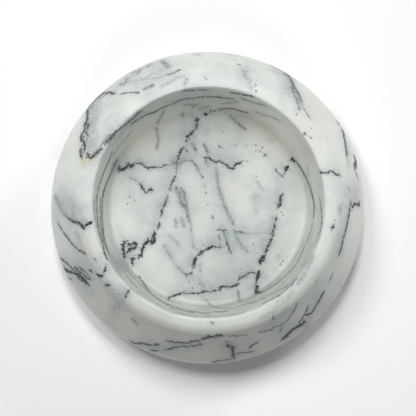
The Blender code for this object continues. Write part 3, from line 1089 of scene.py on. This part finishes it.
# %% [markdown]
# ### Sheets
#
# Two veins that run close together would spoil each other's distances. The hard veins are
# therefore sorted into sheets, the longest first, and each goes on a sheet where the others
# stay clear of it. Soft veins need no sheet, because they have no edge to cut.

# %% Sort the veins into sheets
SHEETS = 4
CLEARANCE = 3.2 * MM
FAR_APART = 1.0
sheets = [[] for i in range(SHEETS)]


def gap(one, other):
    """The least distance between two veins."""
    apart = one["spots"][:, None, :] - other["spots"][None, :, :]
    return float(np.sqrt((apart ** 2).sum(-1)).min())


hard = sorted((facts for facts in VEINS.values() if not facts["soft"]),
              key=lambda facts: -len(facts["spots"]))
for facts in hard:
    room = [min([gap(facts, other) for other in sheet], default=FAR_APART) for sheet in sheets]
    free = [i for i in range(SHEETS) if room[i] > CLEARANCE]
    facts["sheet"] = free[0] if free else room.index(max(room))
    sheets[facts["sheet"]].append(facts)
print("veins on each sheet:", [len(sheet) for sheet in sheets])

# %% [markdown]
# ### Distances
#
# A point of the stone is measured against each short step of a vein. The side on which the
# point lies gives the distance its sign. Steps on a surface that faces another way are pushed
# out of reach, or a vein of the inner wall would show through on the flank.

# %% Read the stone's points
mesh = bowl.data
count = len(mesh.vertices)


def read(items, what):
    """Three numbers for each point of the stone."""
    numbers = np.empty(count * 3)
    items.foreach_get(what, numbers)
    return numbers.reshape(-1, 3)


places = read(mesh.vertices, "co")
facing = read(mesh.vertex_normals, "vector")
print("points of the stone:", count)

# %% Measure every point of the stone
SIGHT = 16.0 * MM
LEAST_LENGTH = 1e-9
SAME_FACING = 0.2
OUT_OF_REACH = 1.0
TAPER_LENGTH = 1.6 * MM


def measure(facts):
    """The stone's points near a vein: index, signed distance, distance, way from an end.

    The way from the vein's nearer end is a share of the length over which its ends taper.
    """
    spots, normals = facts["spots"], facts["normals"]
    low, high = spots.min(0) - SIGHT, spots.max(0) + SIGHT
    near = np.nonzero(((places > low) & (places < high)).all(1))[0]
    along = spots[1:] - spots[:-1]
    length = np.sqrt((along ** 2).sum(1)).clip(LEAST_LENGTH)
    apart = places[near][:, None, :] - spots[:-1][None]
    part = ((apart * along[None]).sum(-1) / length ** 2).clip(0, 1)
    off = apart - part[..., None] * along[None]
    away = np.sqrt((off ** 2).sum(-1))
    away += np.where(facing[near] @ normals[:-1].T < SAME_FACING, OUT_OF_REACH, 0.0)
    best = away.argmin(1)
    rows = np.arange(len(near))
    side = np.sign((apart[rows, best] * np.cross(facing[near], along[best])).sum(-1))
    travelled = np.concatenate([[0.0], np.cumsum(length)])
    way = travelled[best] + part[rows, best] * length[best]
    ends = np.minimum(way, travelled[-1] - way) / TAPER_LENGTH
    away = away[rows, best]
    keep = away < SIGHT
    return near[keep], (side * away)[keep], away[keep], ends[keep]


for facts in VEINS.values():
    facts["near"] = measure(facts)
print("measurements:", sum(len(facts["near"][0]) for facts in VEINS.values()))

# %% [markdown]
# ### Haze, smoke and ink
#
# Every vein lays a thin haze all along itself, and its own wider haze on the side that it
# names. A soft vein adds smoke to that, and nothing else. A hard vein writes its signed
# distance, its distance and its half width on its sheet, all in millimetres, and gives the
# points near it their ink and their loose grains. Haze, width and grains grow less towards a
# vein's two ends.

# %% Lay the haze and the soft veins
NEAR_HAZE = 0.55
NEAR_REACH = 2.8 * MM
BACK_REACH = 1.2 * MM
HAZE_TIP = 0.3

haze = np.zeros(count)
smoke = np.zeros(count)


def swell(ends, tip):
    """1 along a vein, falling to the tip's share at its two ends."""
    return tip + (1 - tip) * ends.clip(0, 1)


def laid_over(under, over):
    """Two covers, one laid over the other, from 0 to 1."""
    return 1 - (1 - under) * (1 - over)


for facts in VEINS.values():
    index, signed, away, ends = facts["near"]
    thin = NEAR_HAZE * facts["ink"] * np.exp(-away / NEAR_REACH) * swell(ends, HAZE_TIP)
    sided = signed * facts["side"] if facts["side"] else away
    reach = np.where(sided >= 0, facts["reach"], BACK_REACH)
    own = facts["haze"] * np.exp(-away / reach) * swell(ends, HAZE_TIP)
    haze[index] = laid_over(laid_over(haze[index], thin), own)
    if facts["soft"]:
        amount = facts["ink"] * np.exp(-(away / facts["width"]) ** 2)
        smoke[index] = np.maximum(smoke[index], amount)
print("mean haze:", round(float(haze.mean()), 3), "mean smoke:", round(float(smoke.mean()), 3))

# %% Lay the hard veins on their sheets
FAR = 20.0
IDLE_HALF_WIDTH = 0.5
LINE_TIP = 0.45
GRAIN_TIP = 0.5
GRAIN_REACH = 2.2 * MM

nearest = np.full((SHEETS, count, 3), FAR)
nearest[:, :, 2] = IDLE_HALF_WIDTH
ink = np.zeros((SHEETS, count))
grains = np.zeros(count)
for facts in VEINS.values():
    if facts["soft"]:
        continue
    sheet = nearest[facts["sheet"]]
    closer = facts["near"][2] / MM < sheet[facts["near"][0], 1]
    index, signed, away, ends = [values[closer] for values in facts["near"]]
    half = facts["width"] / MM / 2 * swell(ends, LINE_TIP)
    sheet[index] = np.stack([signed / MM, away / MM, half], 1)
    ink[facts["sheet"], index] = facts["ink"]
    spread = np.exp(-(away / GRAIN_REACH) ** 2) * swell(ends, GRAIN_TIP)
    grains[index] = np.maximum(grains[index], facts["grains"] * facts["ink"] * spread)
print("points near a line:", int((nearest[:, :, 1] < FAR).any(0).sum()))

# %% [markdown]
# ### Dots for the specks
#
# Near a speck, each point of the stone holds its own offset from the speck. The offset is
# divided by the speck's size, so one rule in the material draws small and large dots alike.

# %% Set the specks
DOT_SIGHT = 3.2 * MM
dots = np.full((count, 3), FAR)
dot_away = np.full(count, DOT_SIGHT)
for x, y, *size in INNER_SPECKS + OUTER_SPECKS:
    off = places - np.array(seen_spot(x, y)[0])
    away = np.sqrt((off ** 2).sum(1))
    mine = away < dot_away
    dots[mine] = off[mine] / MM / (size[0] if size else 1.0)
    dot_away[mine] = away[mine]
print("points near a speck:", int((dots[:, 0] < FAR).sum()))

# %% [markdown]
# ### Lay the stains on
#
# The stains were placed in the picture, so each point of the stone is first given the picture
# point at which the camera would see it. Faces that look down take no stain.

# %% Find every point in the picture
LEAST_UPWARD = -0.05

from_eye = places - np.array(EYE)
depth = from_eye @ np.array(forward)
across = OPTICAL_CENTRE_PIXELS[0] + FOCAL_PIXELS * (from_eye @ np.array(rightward)) / depth
down = OPTICAL_CENTRE_PIXELS[1] - FOCAL_PIXELS * (from_eye @ np.array(upward)) / depth
faces_up = facing[:, 2] > LEAST_UPWARD
print("the stone spans these columns of the picture:", round(across.min()), round(across.max()))

# %% Lay each kind of stain
def stain(kind):
    """How strongly the stains of one kind cover each point of the stone, from 0 to 1."""
    cover = np.zeros(count)
    for x, y, half_width, half_height, turn, amount in STAINS[kind]:
        turn = math.radians(turn)
        right, below = across - x, down - y
        u = (right * math.cos(turn) + below * math.sin(turn)) / half_width
        v = (below * math.cos(turn) - right * math.sin(turn)) / half_height
        cover = laid_over(cover, amount * np.exp(-(u * u + v * v)))
    return np.where(faces_up, cover, 0.0)


haze = laid_over(haze, stain("haze"))
smoke = np.maximum(smoke, stain("smoke"))
cream = stain("cream")
rust = stain("rust")
print("strongest stain of each kind:", [round(float(s.max()), 2) for s in (haze, smoke, cream, rust)])

# %% [markdown]
# ### Painted shade and painted light that follow the form
#
# Some slow changes of tone go with the bowl's form, and most of them are painted light and shade.
# The inner wall cuts across the stone's beds and is greyer, most of all on the near side, where the
# grey is partly the beds and partly painted shade. The near flank and the outer half of the near
# rim get painted shade, darker than plain lamps make them, and so, a little, do the far flank and
# the foot of the wall. The far rim, the lip's thin line and the rounded base get painted light, as
# if they caught more light. Each of these tones is a band round the axis, strongest in one
# direction and fading from it.

# %% Measure the form
radius = np.hypot(places[:, 0], places[:, 1])
height = places[:, 2]
bearing = np.degrees(np.arctan2(places[:, 1], places[:, 0]))
above_base = height > UNDERSIDE + BASE_ROUND


def side_of_bowl(azimuth, spread, amount):
    """The amount in one direction from the axis, fading to 0 over a spread, in degrees."""
    off = (bearing - azimuth + 180) % 360 - 180
    return amount * np.exp(-(off / spread) ** 4)


def ring(middle, width):
    """1 at one radius, fading to 0 within and beyond it."""
    return np.exp(-((radius - middle) / width) ** 2)


print("heights in mm:", round(height.min() / MM, 1), "to", round(height.max() / MM, 1))

# %% Grey the wall and paint shade on the near side
BED_AND_SHADE_FADE = 7.0 * MM
FLANK_FADE = 12.0 * MM
FLOOR_EDGE_FADE = 6.0 * MM
NEAR_PAINTED_SHADE_RINGS = (89.5, 91.0, 94.5, 97.5, 101.0, 105.0)
NEAR_PAINTED_SHADE_LEVELS = (0.0, 0.22, 0.25, 0.68, 0.68, 0.52)

# The near wall's grey is partly the stone's beds and partly painted shade, strongest on the near side.
on_wall = ((height - FLOOR_HEIGHT) / BED_AND_SHADE_FADE).clip(0, 1) * (radius < MOUTH_RADIUS + LIP_ROUND)
bed = on_wall * side_of_bowl(azimuth=270, spread=85, amount=0.85)

# Painted shade: the near rim's outer half and the near flank, a little of the far flank, and the
# floor's edge at the foot of the wall.
near_painted_shade = np.interp(radius / MM, NEAR_PAINTED_SHADE_RINGS, NEAR_PAINTED_SHADE_LEVELS) * above_base
on_flank = ((radius - MOUTH_RADIUS - RIM_WIDTH) / FLANK_FADE).clip(0, 1) * above_base
on_floor_edge = ring(FLOOR_RADIUS, FLOOR_EDGE_FADE) * (height < TOP / 2) * (radius < MOUTH_RADIUS)
shade = near_painted_shade * side_of_bowl(azimuth=262, spread=72, amount=1.0)
shade += on_flank * side_of_bowl(azimuth=90, spread=60, amount=0.20)
shade += on_floor_edge * side_of_bowl(azimuth=250, spread=100, amount=0.24)
print("strongest bed and shade:", round(float(bed.max()), 2), round(float(shade.max()), 2))

# %% Paint light on the rim, the lip and the base's edge
LIP_LINE = 0.8 * MM
BASE_LINE = 1.0 * MM
PAINTED_LIGHT_CLEARS_HAZE = 0.5

rim_middle = MOUTH_RADIUS + LIP_ROUND + RIM_WIDTH / 3
lip_middle = MOUTH_RADIUS + LIP_ROUND / 2
on_rim = ring(rim_middle, RIM_WIDTH) * (height > TOP - SHOULDER_ROUND)
on_lip = ring(lip_middle, LIP_LINE) * (height > TOP - LIP_ROUND)
on_base_edge = ring(OUTER_RADIUS, BASE_LINE) * (height > UNDERSIDE + BASE_ROUND / 2)
# Painted light: the far rim, the near lip's thin line and the near rounded base edge are lightened as
# if they caught more light.
pale = np.maximum.reduce([
    on_rim * side_of_bowl(azimuth=85, spread=125, amount=0.225),
    on_lip * side_of_bowl(azimuth=255, spread=95, amount=0.25),
    on_base_edge * side_of_bowl(azimuth=265, spread=35, amount=0.34),
])
shade = shade * (1 - on_base_edge)
haze = haze * (1 - PAINTED_LIGHT_CLEARS_HAZE * pale)
print("strongest pale tone:", round(float(pale.max()), 2))

# %% [markdown]
# ### Keep the measurements with the stone
#
# Blender stores numbers with a mesh as attributes, one value for each point. The material can
# read them by name.

# %% Store the measurements on the stone
def store(name, kind, values):
    """Keeps one value, or one set of three, for each point of the stone."""
    layer = mesh.attributes.new(name, kind, "POINT")
    layer.data.foreach_set("vector" if kind == "FLOAT_VECTOR" else "value", values.ravel())


for i in range(SHEETS):
    store(f"vein_{i}", "FLOAT_VECTOR", nearest[i])
    store(f"ink_{i}", "FLOAT", ink[i])
store("dots", "FLOAT_VECTOR", dots)
tones = {"haze": haze, "smoke": smoke, "cream": cream, "rust": rust,
         "bed": bed, "shade": shade, "pale": pale, "grains": grains}
for name, values in tones.items():
    store(name, "FLOAT", values)
print("attributes:", [layer.name for layer in mesh.attributes if not layer.name.startswith(".")])

# %% [markdown]
# ## The marble
#
# The colour is laid on from the ground up. The ground is a pale, greenish white with slight
# clouds, creamier in places. The wall's grey beds with painted shade, the painted shade and the
# painted light of the rim and the edges go over it, then the bluish haze, the smoke of the soft
# veins and a little rust. The ink comes last. The material reads the distance to each hard vein,
# bends it with noise so that the line is jagged, and breaks it into beads. Loose grains and single
# specks join the lines.
#
# Nodes are quick to join by hand, but a long recipe is easier to read as expressions. A small
# class turns each expression into a node.

# %% Small tools for a material
class Recipe:
    """Builds a material's nodes from plain expressions."""

    def __init__(self, name):
        self.material = bpy.data.materials.new(name)
        self.material.use_nodes = True
        self.tree = self.material.node_tree
        self.shader = self.tree.nodes["Principled BSDF"]
        self.place = self.tree.nodes.new("ShaderNodeTexCoord").outputs["Object"]

    def feed(self, socket, value):
        """Links another node's socket, or sets a plain value on the socket itself."""
        if isinstance(value, bpy.types.NodeSocket):
            self.tree.links.new(value, socket)
        else:
            socket.default_value = value

    def node(self, kind, *values, **settings):
        """A new node with some settings; the values go to its first sockets in turn."""
        node = self.tree.nodes.new(kind)
        for setting, choice in settings.items():
            setattr(node, setting, choice)
        for socket, value in zip(node.inputs, values):
            self.feed(socket, value)
        return node

    def maths(self, operation, *values, clamp=False):
        """One step of arithmetic."""
        node = self.node("ShaderNodeMath", *values, operation=operation, use_clamp=clamp)
        return node.outputs[0]

    def ramp(self, value, low, high, start=0.0, end=1.0):
        """Moves smoothly from start to end while the value moves from low to high."""
        node = self.node("ShaderNodeMapRange", value, low, high, start, end,
                         interpolation_type="SMOOTHSTEP")
        return node.outputs[0]

    def noise(self, scale, detail=2.0, roughness=0.5, stretch=(1, 1, 1), shift=0.0):
        """Noise over the stone; a scale of 100 makes clouds about 10 mm wide."""
        place = self.node("ShaderNodeMapping", self.place)
        place.inputs["Location"].default_value = (shift, shift, shift)
        place.inputs["Scale"].default_value = stretch
        node = self.node("ShaderNodeTexNoise", place.outputs[0])
        node.inputs["Scale"].default_value = scale
        node.inputs["Detail"].default_value = detail
        node.inputs["Roughness"].default_value = roughness
        return node.outputs[0]

    def stored(self, name, output="Fac"):
        """A measurement that is stored on the stone."""
        return self.node("ShaderNodeAttribute", attribute_name=name).outputs[output]

    def blend(self, amount, under, over):
        """One colour laid over another."""
        node = self.node("ShaderNodeMix", data_type="RGBA")
        self.feed(node.inputs["Factor"], amount)
        self.feed(node.inputs[6], under)
        self.feed(node.inputs[7], over)
        return node.outputs[2]

    def finish(self, colour, roughness, gloss):
        """Gives the shader its colour, and its roughness and gloss as plain values."""
        self.feed(self.shader.inputs["Base Color"], colour)
        self.shader.inputs["Roughness"].default_value = roughness
        self.shader.inputs["Specular IOR Level"].default_value = gloss


print("recipe steps:", [step for step in vars(Recipe) if not step.startswith("_")])

# %% Cloud the ground
GROUND = (0.77, 0.81, 0.765, 1.0)
GROUND_CLOUD = (0.65, 0.695, 0.665, 1.0)
CREAM = (0.80, 0.77, 0.70, 1.0)
CREAM_STRENGTH = 0.9

marble = Recipe("veined_marble")
clouds = marble.ramp(marble.noise(scale=46, detail=4.0), low=0.40, high=0.70)
ground = marble.blend(clouds, GROUND, GROUND_CLOUD)
cream_cover = marble.maths("MULTIPLY", marble.stored("cream"), CREAM_STRENGTH)
ground = marble.blend(cream_cover, ground, CREAM)
print("ground and cream:", GROUND[:3], CREAM[:3])

# %% Tone it with beds, painted shade and painted light
# The first colour greys the wall's beds and paints shade on the near wall, the second is painted shade,
# the third painted light.
BED_AND_SHADE_GREY = (0.40, 0.42, 0.38, 1.0)
PAINTED_SHADE_GREY = (0.40, 0.41, 0.36, 1.0)
PAINTED_LIGHT_WHITE = (0.93, 0.94, 0.91, 1.0)
FLAT_BEDS = (1, 1, 9)


def broken_cover(name, grain, **ramp):
    """A stored measurement, weaker here and stronger there by the grain of a noise."""
    return marble.maths("MULTIPLY", marble.stored(name), marble.ramp(grain, **ramp), clamp=True)


beds = marble.noise(scale=60, detail=5.0, roughness=0.6, stretch=FLAT_BEDS)
bed_and_shade_cover = broken_cover("bed", beds, low=0.36, high=0.64, start=0.35, end=1.4)
# Lay the beds with the near wall's painted shade, then the painted shade, then the painted light.
ground = marble.blend(bed_and_shade_cover, ground, BED_AND_SHADE_GREY)
ground = marble.blend(marble.stored("shade"), ground, PAINTED_SHADE_GREY)
ground = marble.blend(marble.stored("pale"), ground, PAINTED_LIGHT_WHITE)
print("bed, shade and pale:", BED_AND_SHADE_GREY[:3], PAINTED_SHADE_GREY[:3], PAINTED_LIGHT_WHITE[:3])

# %% Lay haze, smoke and rust over it
HAZE = (0.355, 0.405, 0.41, 1.0)
SMOKE = (0.16, 0.18, 0.19, 1.0)
RUST = (0.66, 0.55, 0.29, 1.0)

haze_grain = marble.noise(scale=180, detail=4.0, roughness=0.6)
haze_cover = broken_cover("haze", haze_grain, low=0.34, high=0.66, start=0.75, end=1.2)
ground = marble.blend(haze_cover, ground, HAZE)
smoke_grain = marble.noise(scale=520, detail=3.0, roughness=0.6)
smoke_cover = broken_cover("smoke", smoke_grain, low=0.36, high=0.62, start=0.25, end=1.25)
ground = marble.blend(smoke_cover, ground, SMOKE)
rust_grain = marble.noise(scale=700, detail=2.0)
rust_cover = broken_cover("rust", rust_grain, low=0.35, high=0.6, start=0.3, end=1.2)
ground = marble.blend(rust_cover, ground, RUST)
print("haze, smoke and rust:", HAZE[:3], SMOKE[:3], RUST[:3])

# %% Draw the jagged lines
SLOW_SWAY = 1.8
FINE_SWAY = 0.7
MIDDLE_OF_NOISE = 0.5
GUARD = 1.3
EDGE_SOFTNESS = 0.3


def sway(scale, most):
    """A noise that moves a line to and fro, in mm."""
    centred = marble.maths("SUBTRACT", marble.noise(scale, detail=1.0), MIDDLE_OF_NOISE)
    return marble.maths("MULTIPLY", centred, most)


def line_cover(sheet, bend, beads):
    """The ink of one sheet. The guard keeps the bend from drawing a line far from its vein."""
    parts = marble.node("ShaderNodeSeparateXYZ", marble.stored(f"vein_{sheet}", "Vector"))
    signed, away, half = parts.outputs
    bent = marble.maths("ABSOLUTE", marble.maths("ADD", signed, bend))
    distance = marble.maths("MAXIMUM", bent, marble.maths("SUBTRACT", away, GUARD))
    beyond = marble.maths("SUBTRACT", distance, marble.maths("MULTIPLY", half, beads))
    cover = marble.ramp(beyond, low=-EDGE_SOFTNESS, high=EDGE_SOFTNESS, start=1.0, end=0.0)
    return marble.maths("MULTIPLY", cover, marble.stored(f"ink_{sheet}"))


bend = marble.maths("ADD", sway(scale=330, most=SLOW_SWAY), sway(scale=1100, most=FINE_SWAY))
bead_noise = marble.noise(scale=520, detail=1.0, shift=3.0)
beads = marble.ramp(bead_noise, low=0.36, high=0.64, start=0.30, end=1.45)
lines = 0.0
for i in range(SHEETS):
    lines = marble.maths("MAXIMUM", lines, line_cover(i, bend, beads))
ink_noise = marble.noise(scale=640, detail=2.0, shift=11.0)
thin_ink = marble.ramp(ink_noise, low=0.34, high=0.54, start=0.60)
lines = marble.maths("MULTIPLY", lines, thin_ink)
print("sheets drawn:", SHEETS)

# %% Add loose grains and specks
INK = (0.016, 0.015, 0.015, 1.0)
GRAINS_NEAR_A_VEIN = 0.40
MARBLE_ROUGHNESS = 0.45
MARBLE_GLOSS = 0.28

near_a_vein = marble.maths("MULTIPLY", marble.stored("grains"), GRAINS_NEAR_A_VEIN)
loose = marble.maths("ADD", marble.noise(scale=750, detail=2.0, shift=7.0), near_a_vein)
lines = marble.maths("MAXIMUM", lines, marble.ramp(loose, low=0.73, high=0.80, end=0.95))

dot_offset = marble.node("ShaderNodeVectorMath", marble.stored("dots", "Vector"), operation="LENGTH")
dot_noise = marble.noise(scale=420, detail=1.0, shift=5.0)
dot_wobble = marble.ramp(dot_noise, low=0.3, high=0.7, start=-0.35, end=0.45)
dot_edge = marble.maths("ADD", dot_offset.outputs["Value"], dot_wobble)
dot_cover = marble.ramp(dot_edge, low=0.15, high=0.85, start=0.75, end=0.0)
lines = marble.maths("MAXIMUM", lines, dot_cover)

marble.finish(marble.blend(lines, ground, INK), MARBLE_ROUGHNESS, MARBLE_GLOSS)
bowl.data.materials.clear()
bowl.data.materials.append(marble.material)
print("marble nodes:", len(marble.tree.nodes))

# %% [markdown]
# ## The felt pads
#
# Four felt discs keep the stone off the table. Their solids already have the right shape, so
# only their surface changes: matt grey felt with a fine, uneven grain.

# %% Give the pads their felt
FELT_LIGHT = (0.30, 0.30, 0.29, 1.0)
FELT_DARK = (0.20, 0.20, 0.195, 1.0)
FELT_ROUGHNESS = 0.95
FELT_GLOSS = 0.2

felt = Recipe("pressed_felt")
fibres = felt.ramp(felt.noise(scale=1500, detail=4.0, roughness=0.7), low=0.35, high=0.65)
felt.finish(felt.blend(fibres, FELT_LIGHT, FELT_DARK), FELT_ROUGHNESS, FELT_GLOSS)
pads = [piece for piece in bpy.data.objects if piece.type == "MESH" and "felt_pad" in piece.name]
for pad in pads:
    for socket in pad.material_slots:
        socket.material = felt.material
print("felt pads:", sorted(pad.name for pad in pads))

# %% [markdown]
# ## The table
#
# The bowl stands on a plain white table, wide enough that the camera above sees no end of it.
# A pure white table would throw too much light up onto the flank. So the table is greyer for
# light on its way to the stone, and pure white only for rays from the camera, straight or by
# way of a gloss or a glass.

# %% Set the table
TABLE_SIDE = 3.2
TABLE_WHITE = (1.0, 1.0, 1.0, 1.0)
TABLE_BOUNCE = (0.75, 0.75, 0.75, 1.0)
TABLE_ROUGHNESS = 0.9


def background_rays(tree):
    """1 for a ray from the camera, and for one that comes by way of a gloss or a glass."""
    path = tree.nodes.new("ShaderNodeLightPath")
    share = path.outputs["Is Camera Ray"]
    for name in ("Is Glossy Ray", "Is Transmission Ray"):
        either = tree.nodes.new("ShaderNodeMath")
        either.operation = "MAXIMUM"
        tree.links.new(share, either.inputs[0])
        tree.links.new(path.outputs[name], either.inputs[1])
        share = either.outputs["Value"]
    return share


deselect_everything()
bpy.ops.mesh.primitive_plane_add(size=TABLE_SIDE, location=(0.0, 0.0, 0.0))
table = bpy.context.object
table.name = "table_top"
paint = Recipe("table_white")
table_colour = paint.blend(background_rays(paint.tree), TABLE_BOUNCE, TABLE_WHITE)
paint.finish(table_colour, TABLE_ROUGHNESS, gloss=0.0)
table.data.materials.append(paint.material)
print("table side in m:", TABLE_SIDE)

# %% [markdown]
# ## The light
#
# The strongest light comes from behind the bowl and from high up, so the near flank and the
# far inner wall fall into shade. Weaker lights fill in from the sides and from the near side.
#
# The stone's shading and the table's shadow can't both be matched by one set of lamps: the
# table is white almost up to the stone. So the two have lamps of their own. Light linking
# tells each set of lamps on which object its light falls.

# %% Light the stone and the table
LAMP_DISTANCE = 3.0
LAMP_WIDTH = 0.9
STONE_LAMPS = {
    "window_light": {"toward": (94, 50), "level": 0.405, "width": 1.4},
    "high_light": {"toward": (90, 70), "level": 0.295},
    "right_light": {"toward": (45, 20), "level": 0.25},
    "left_light": {"toward": (180, 20), "level": 0.30},
    "near_light": {"toward": (300, 40), "level": 0.19},
}
TABLE_LAMPS = {
    "table_light": {"toward": (94, 54), "level": 0.52},
    "table_left_light": {"toward": (138, 50), "level": 0.38},
    "table_right_light": {"toward": (45, 20), "level": 0.28},
    "table_near_light": {"toward": (275, 40), "level": 0.15},
}


def direction(azimuth, elevation):
    """A unit vector: azimuth from +X towards +Y, elevation above the table, in degrees."""
    a, e = math.radians(azimuth), math.radians(elevation)
    return Vector((math.cos(a) * math.cos(e), math.sin(a) * math.cos(e), math.sin(e)))


def soft_lamp(name, toward, level, width=LAMP_WIDTH):
    """A round soft light. A level of 1 shows a white that faces it as a full white."""
    lamp = bpy.data.lights.new(name, "AREA")
    lamp.shape = "DISK"
    lamp.size = width
    lamp.energy = level * (math.pi * LAMP_DISTANCE) ** 2
    holder = bpy.data.objects.new(name, lamp)
    bpy.context.scene.collection.objects.link(holder)
    way = direction(*toward)
    holder.location = way * LAMP_DISTANCE
    holder.rotation_euler = way.to_track_quat("Z", "Y").to_euler()
    return holder


def light_only(receiver, lamps):
    """Lamps whose light falls on one object only."""
    lit = bpy.data.collections.new(receiver.name + "_lit")
    lit.objects.link(receiver)
    for name, facts in lamps.items():
        soft_lamp(name, **facts).light_linking.receiver_collection = lit


light_only(bowl, STONE_LAMPS)
light_only(table, TABLE_LAMPS)
print("lamps:", ", ".join([*STONE_LAMPS, *TABLE_LAMPS]))

# %% [markdown]
# ## The sky
#
# A weak white sky fills the deepest shadows. The camera itself sees a pure white sky, so
# nothing dark shows beyond the table. Standard is the plain way of turning light into the
# picture's colours.

# %% Fill with a white sky
SKY_LEVEL = 0.04
BACKDROP_LEVEL = 1.0

sky = bpy.data.worlds.new("studio_sky")
bpy.context.scene.world = sky
sky.use_nodes = True
nodes, links = sky.node_tree.nodes, sky.node_tree.links
backdrop_share = nodes.new("ShaderNodeMapRange")
backdrop_share.inputs["To Min"].default_value = SKY_LEVEL
backdrop_share.inputs["To Max"].default_value = BACKDROP_LEVEL
links.new(background_rays(sky.node_tree), backdrop_share.inputs["Value"])
links.new(backdrop_share.outputs["Result"], nodes["Background"].inputs["Strength"])
nodes["Background"].inputs["Color"].default_value = (1.0, 1.0, 1.0, 1.0)
bpy.context.scene.view_settings.view_transform = "Standard"
print("sky level:", SKY_LEVEL)

# %% [markdown]
# ## The size
#
# The turned stone has to stay inside the frame's box.
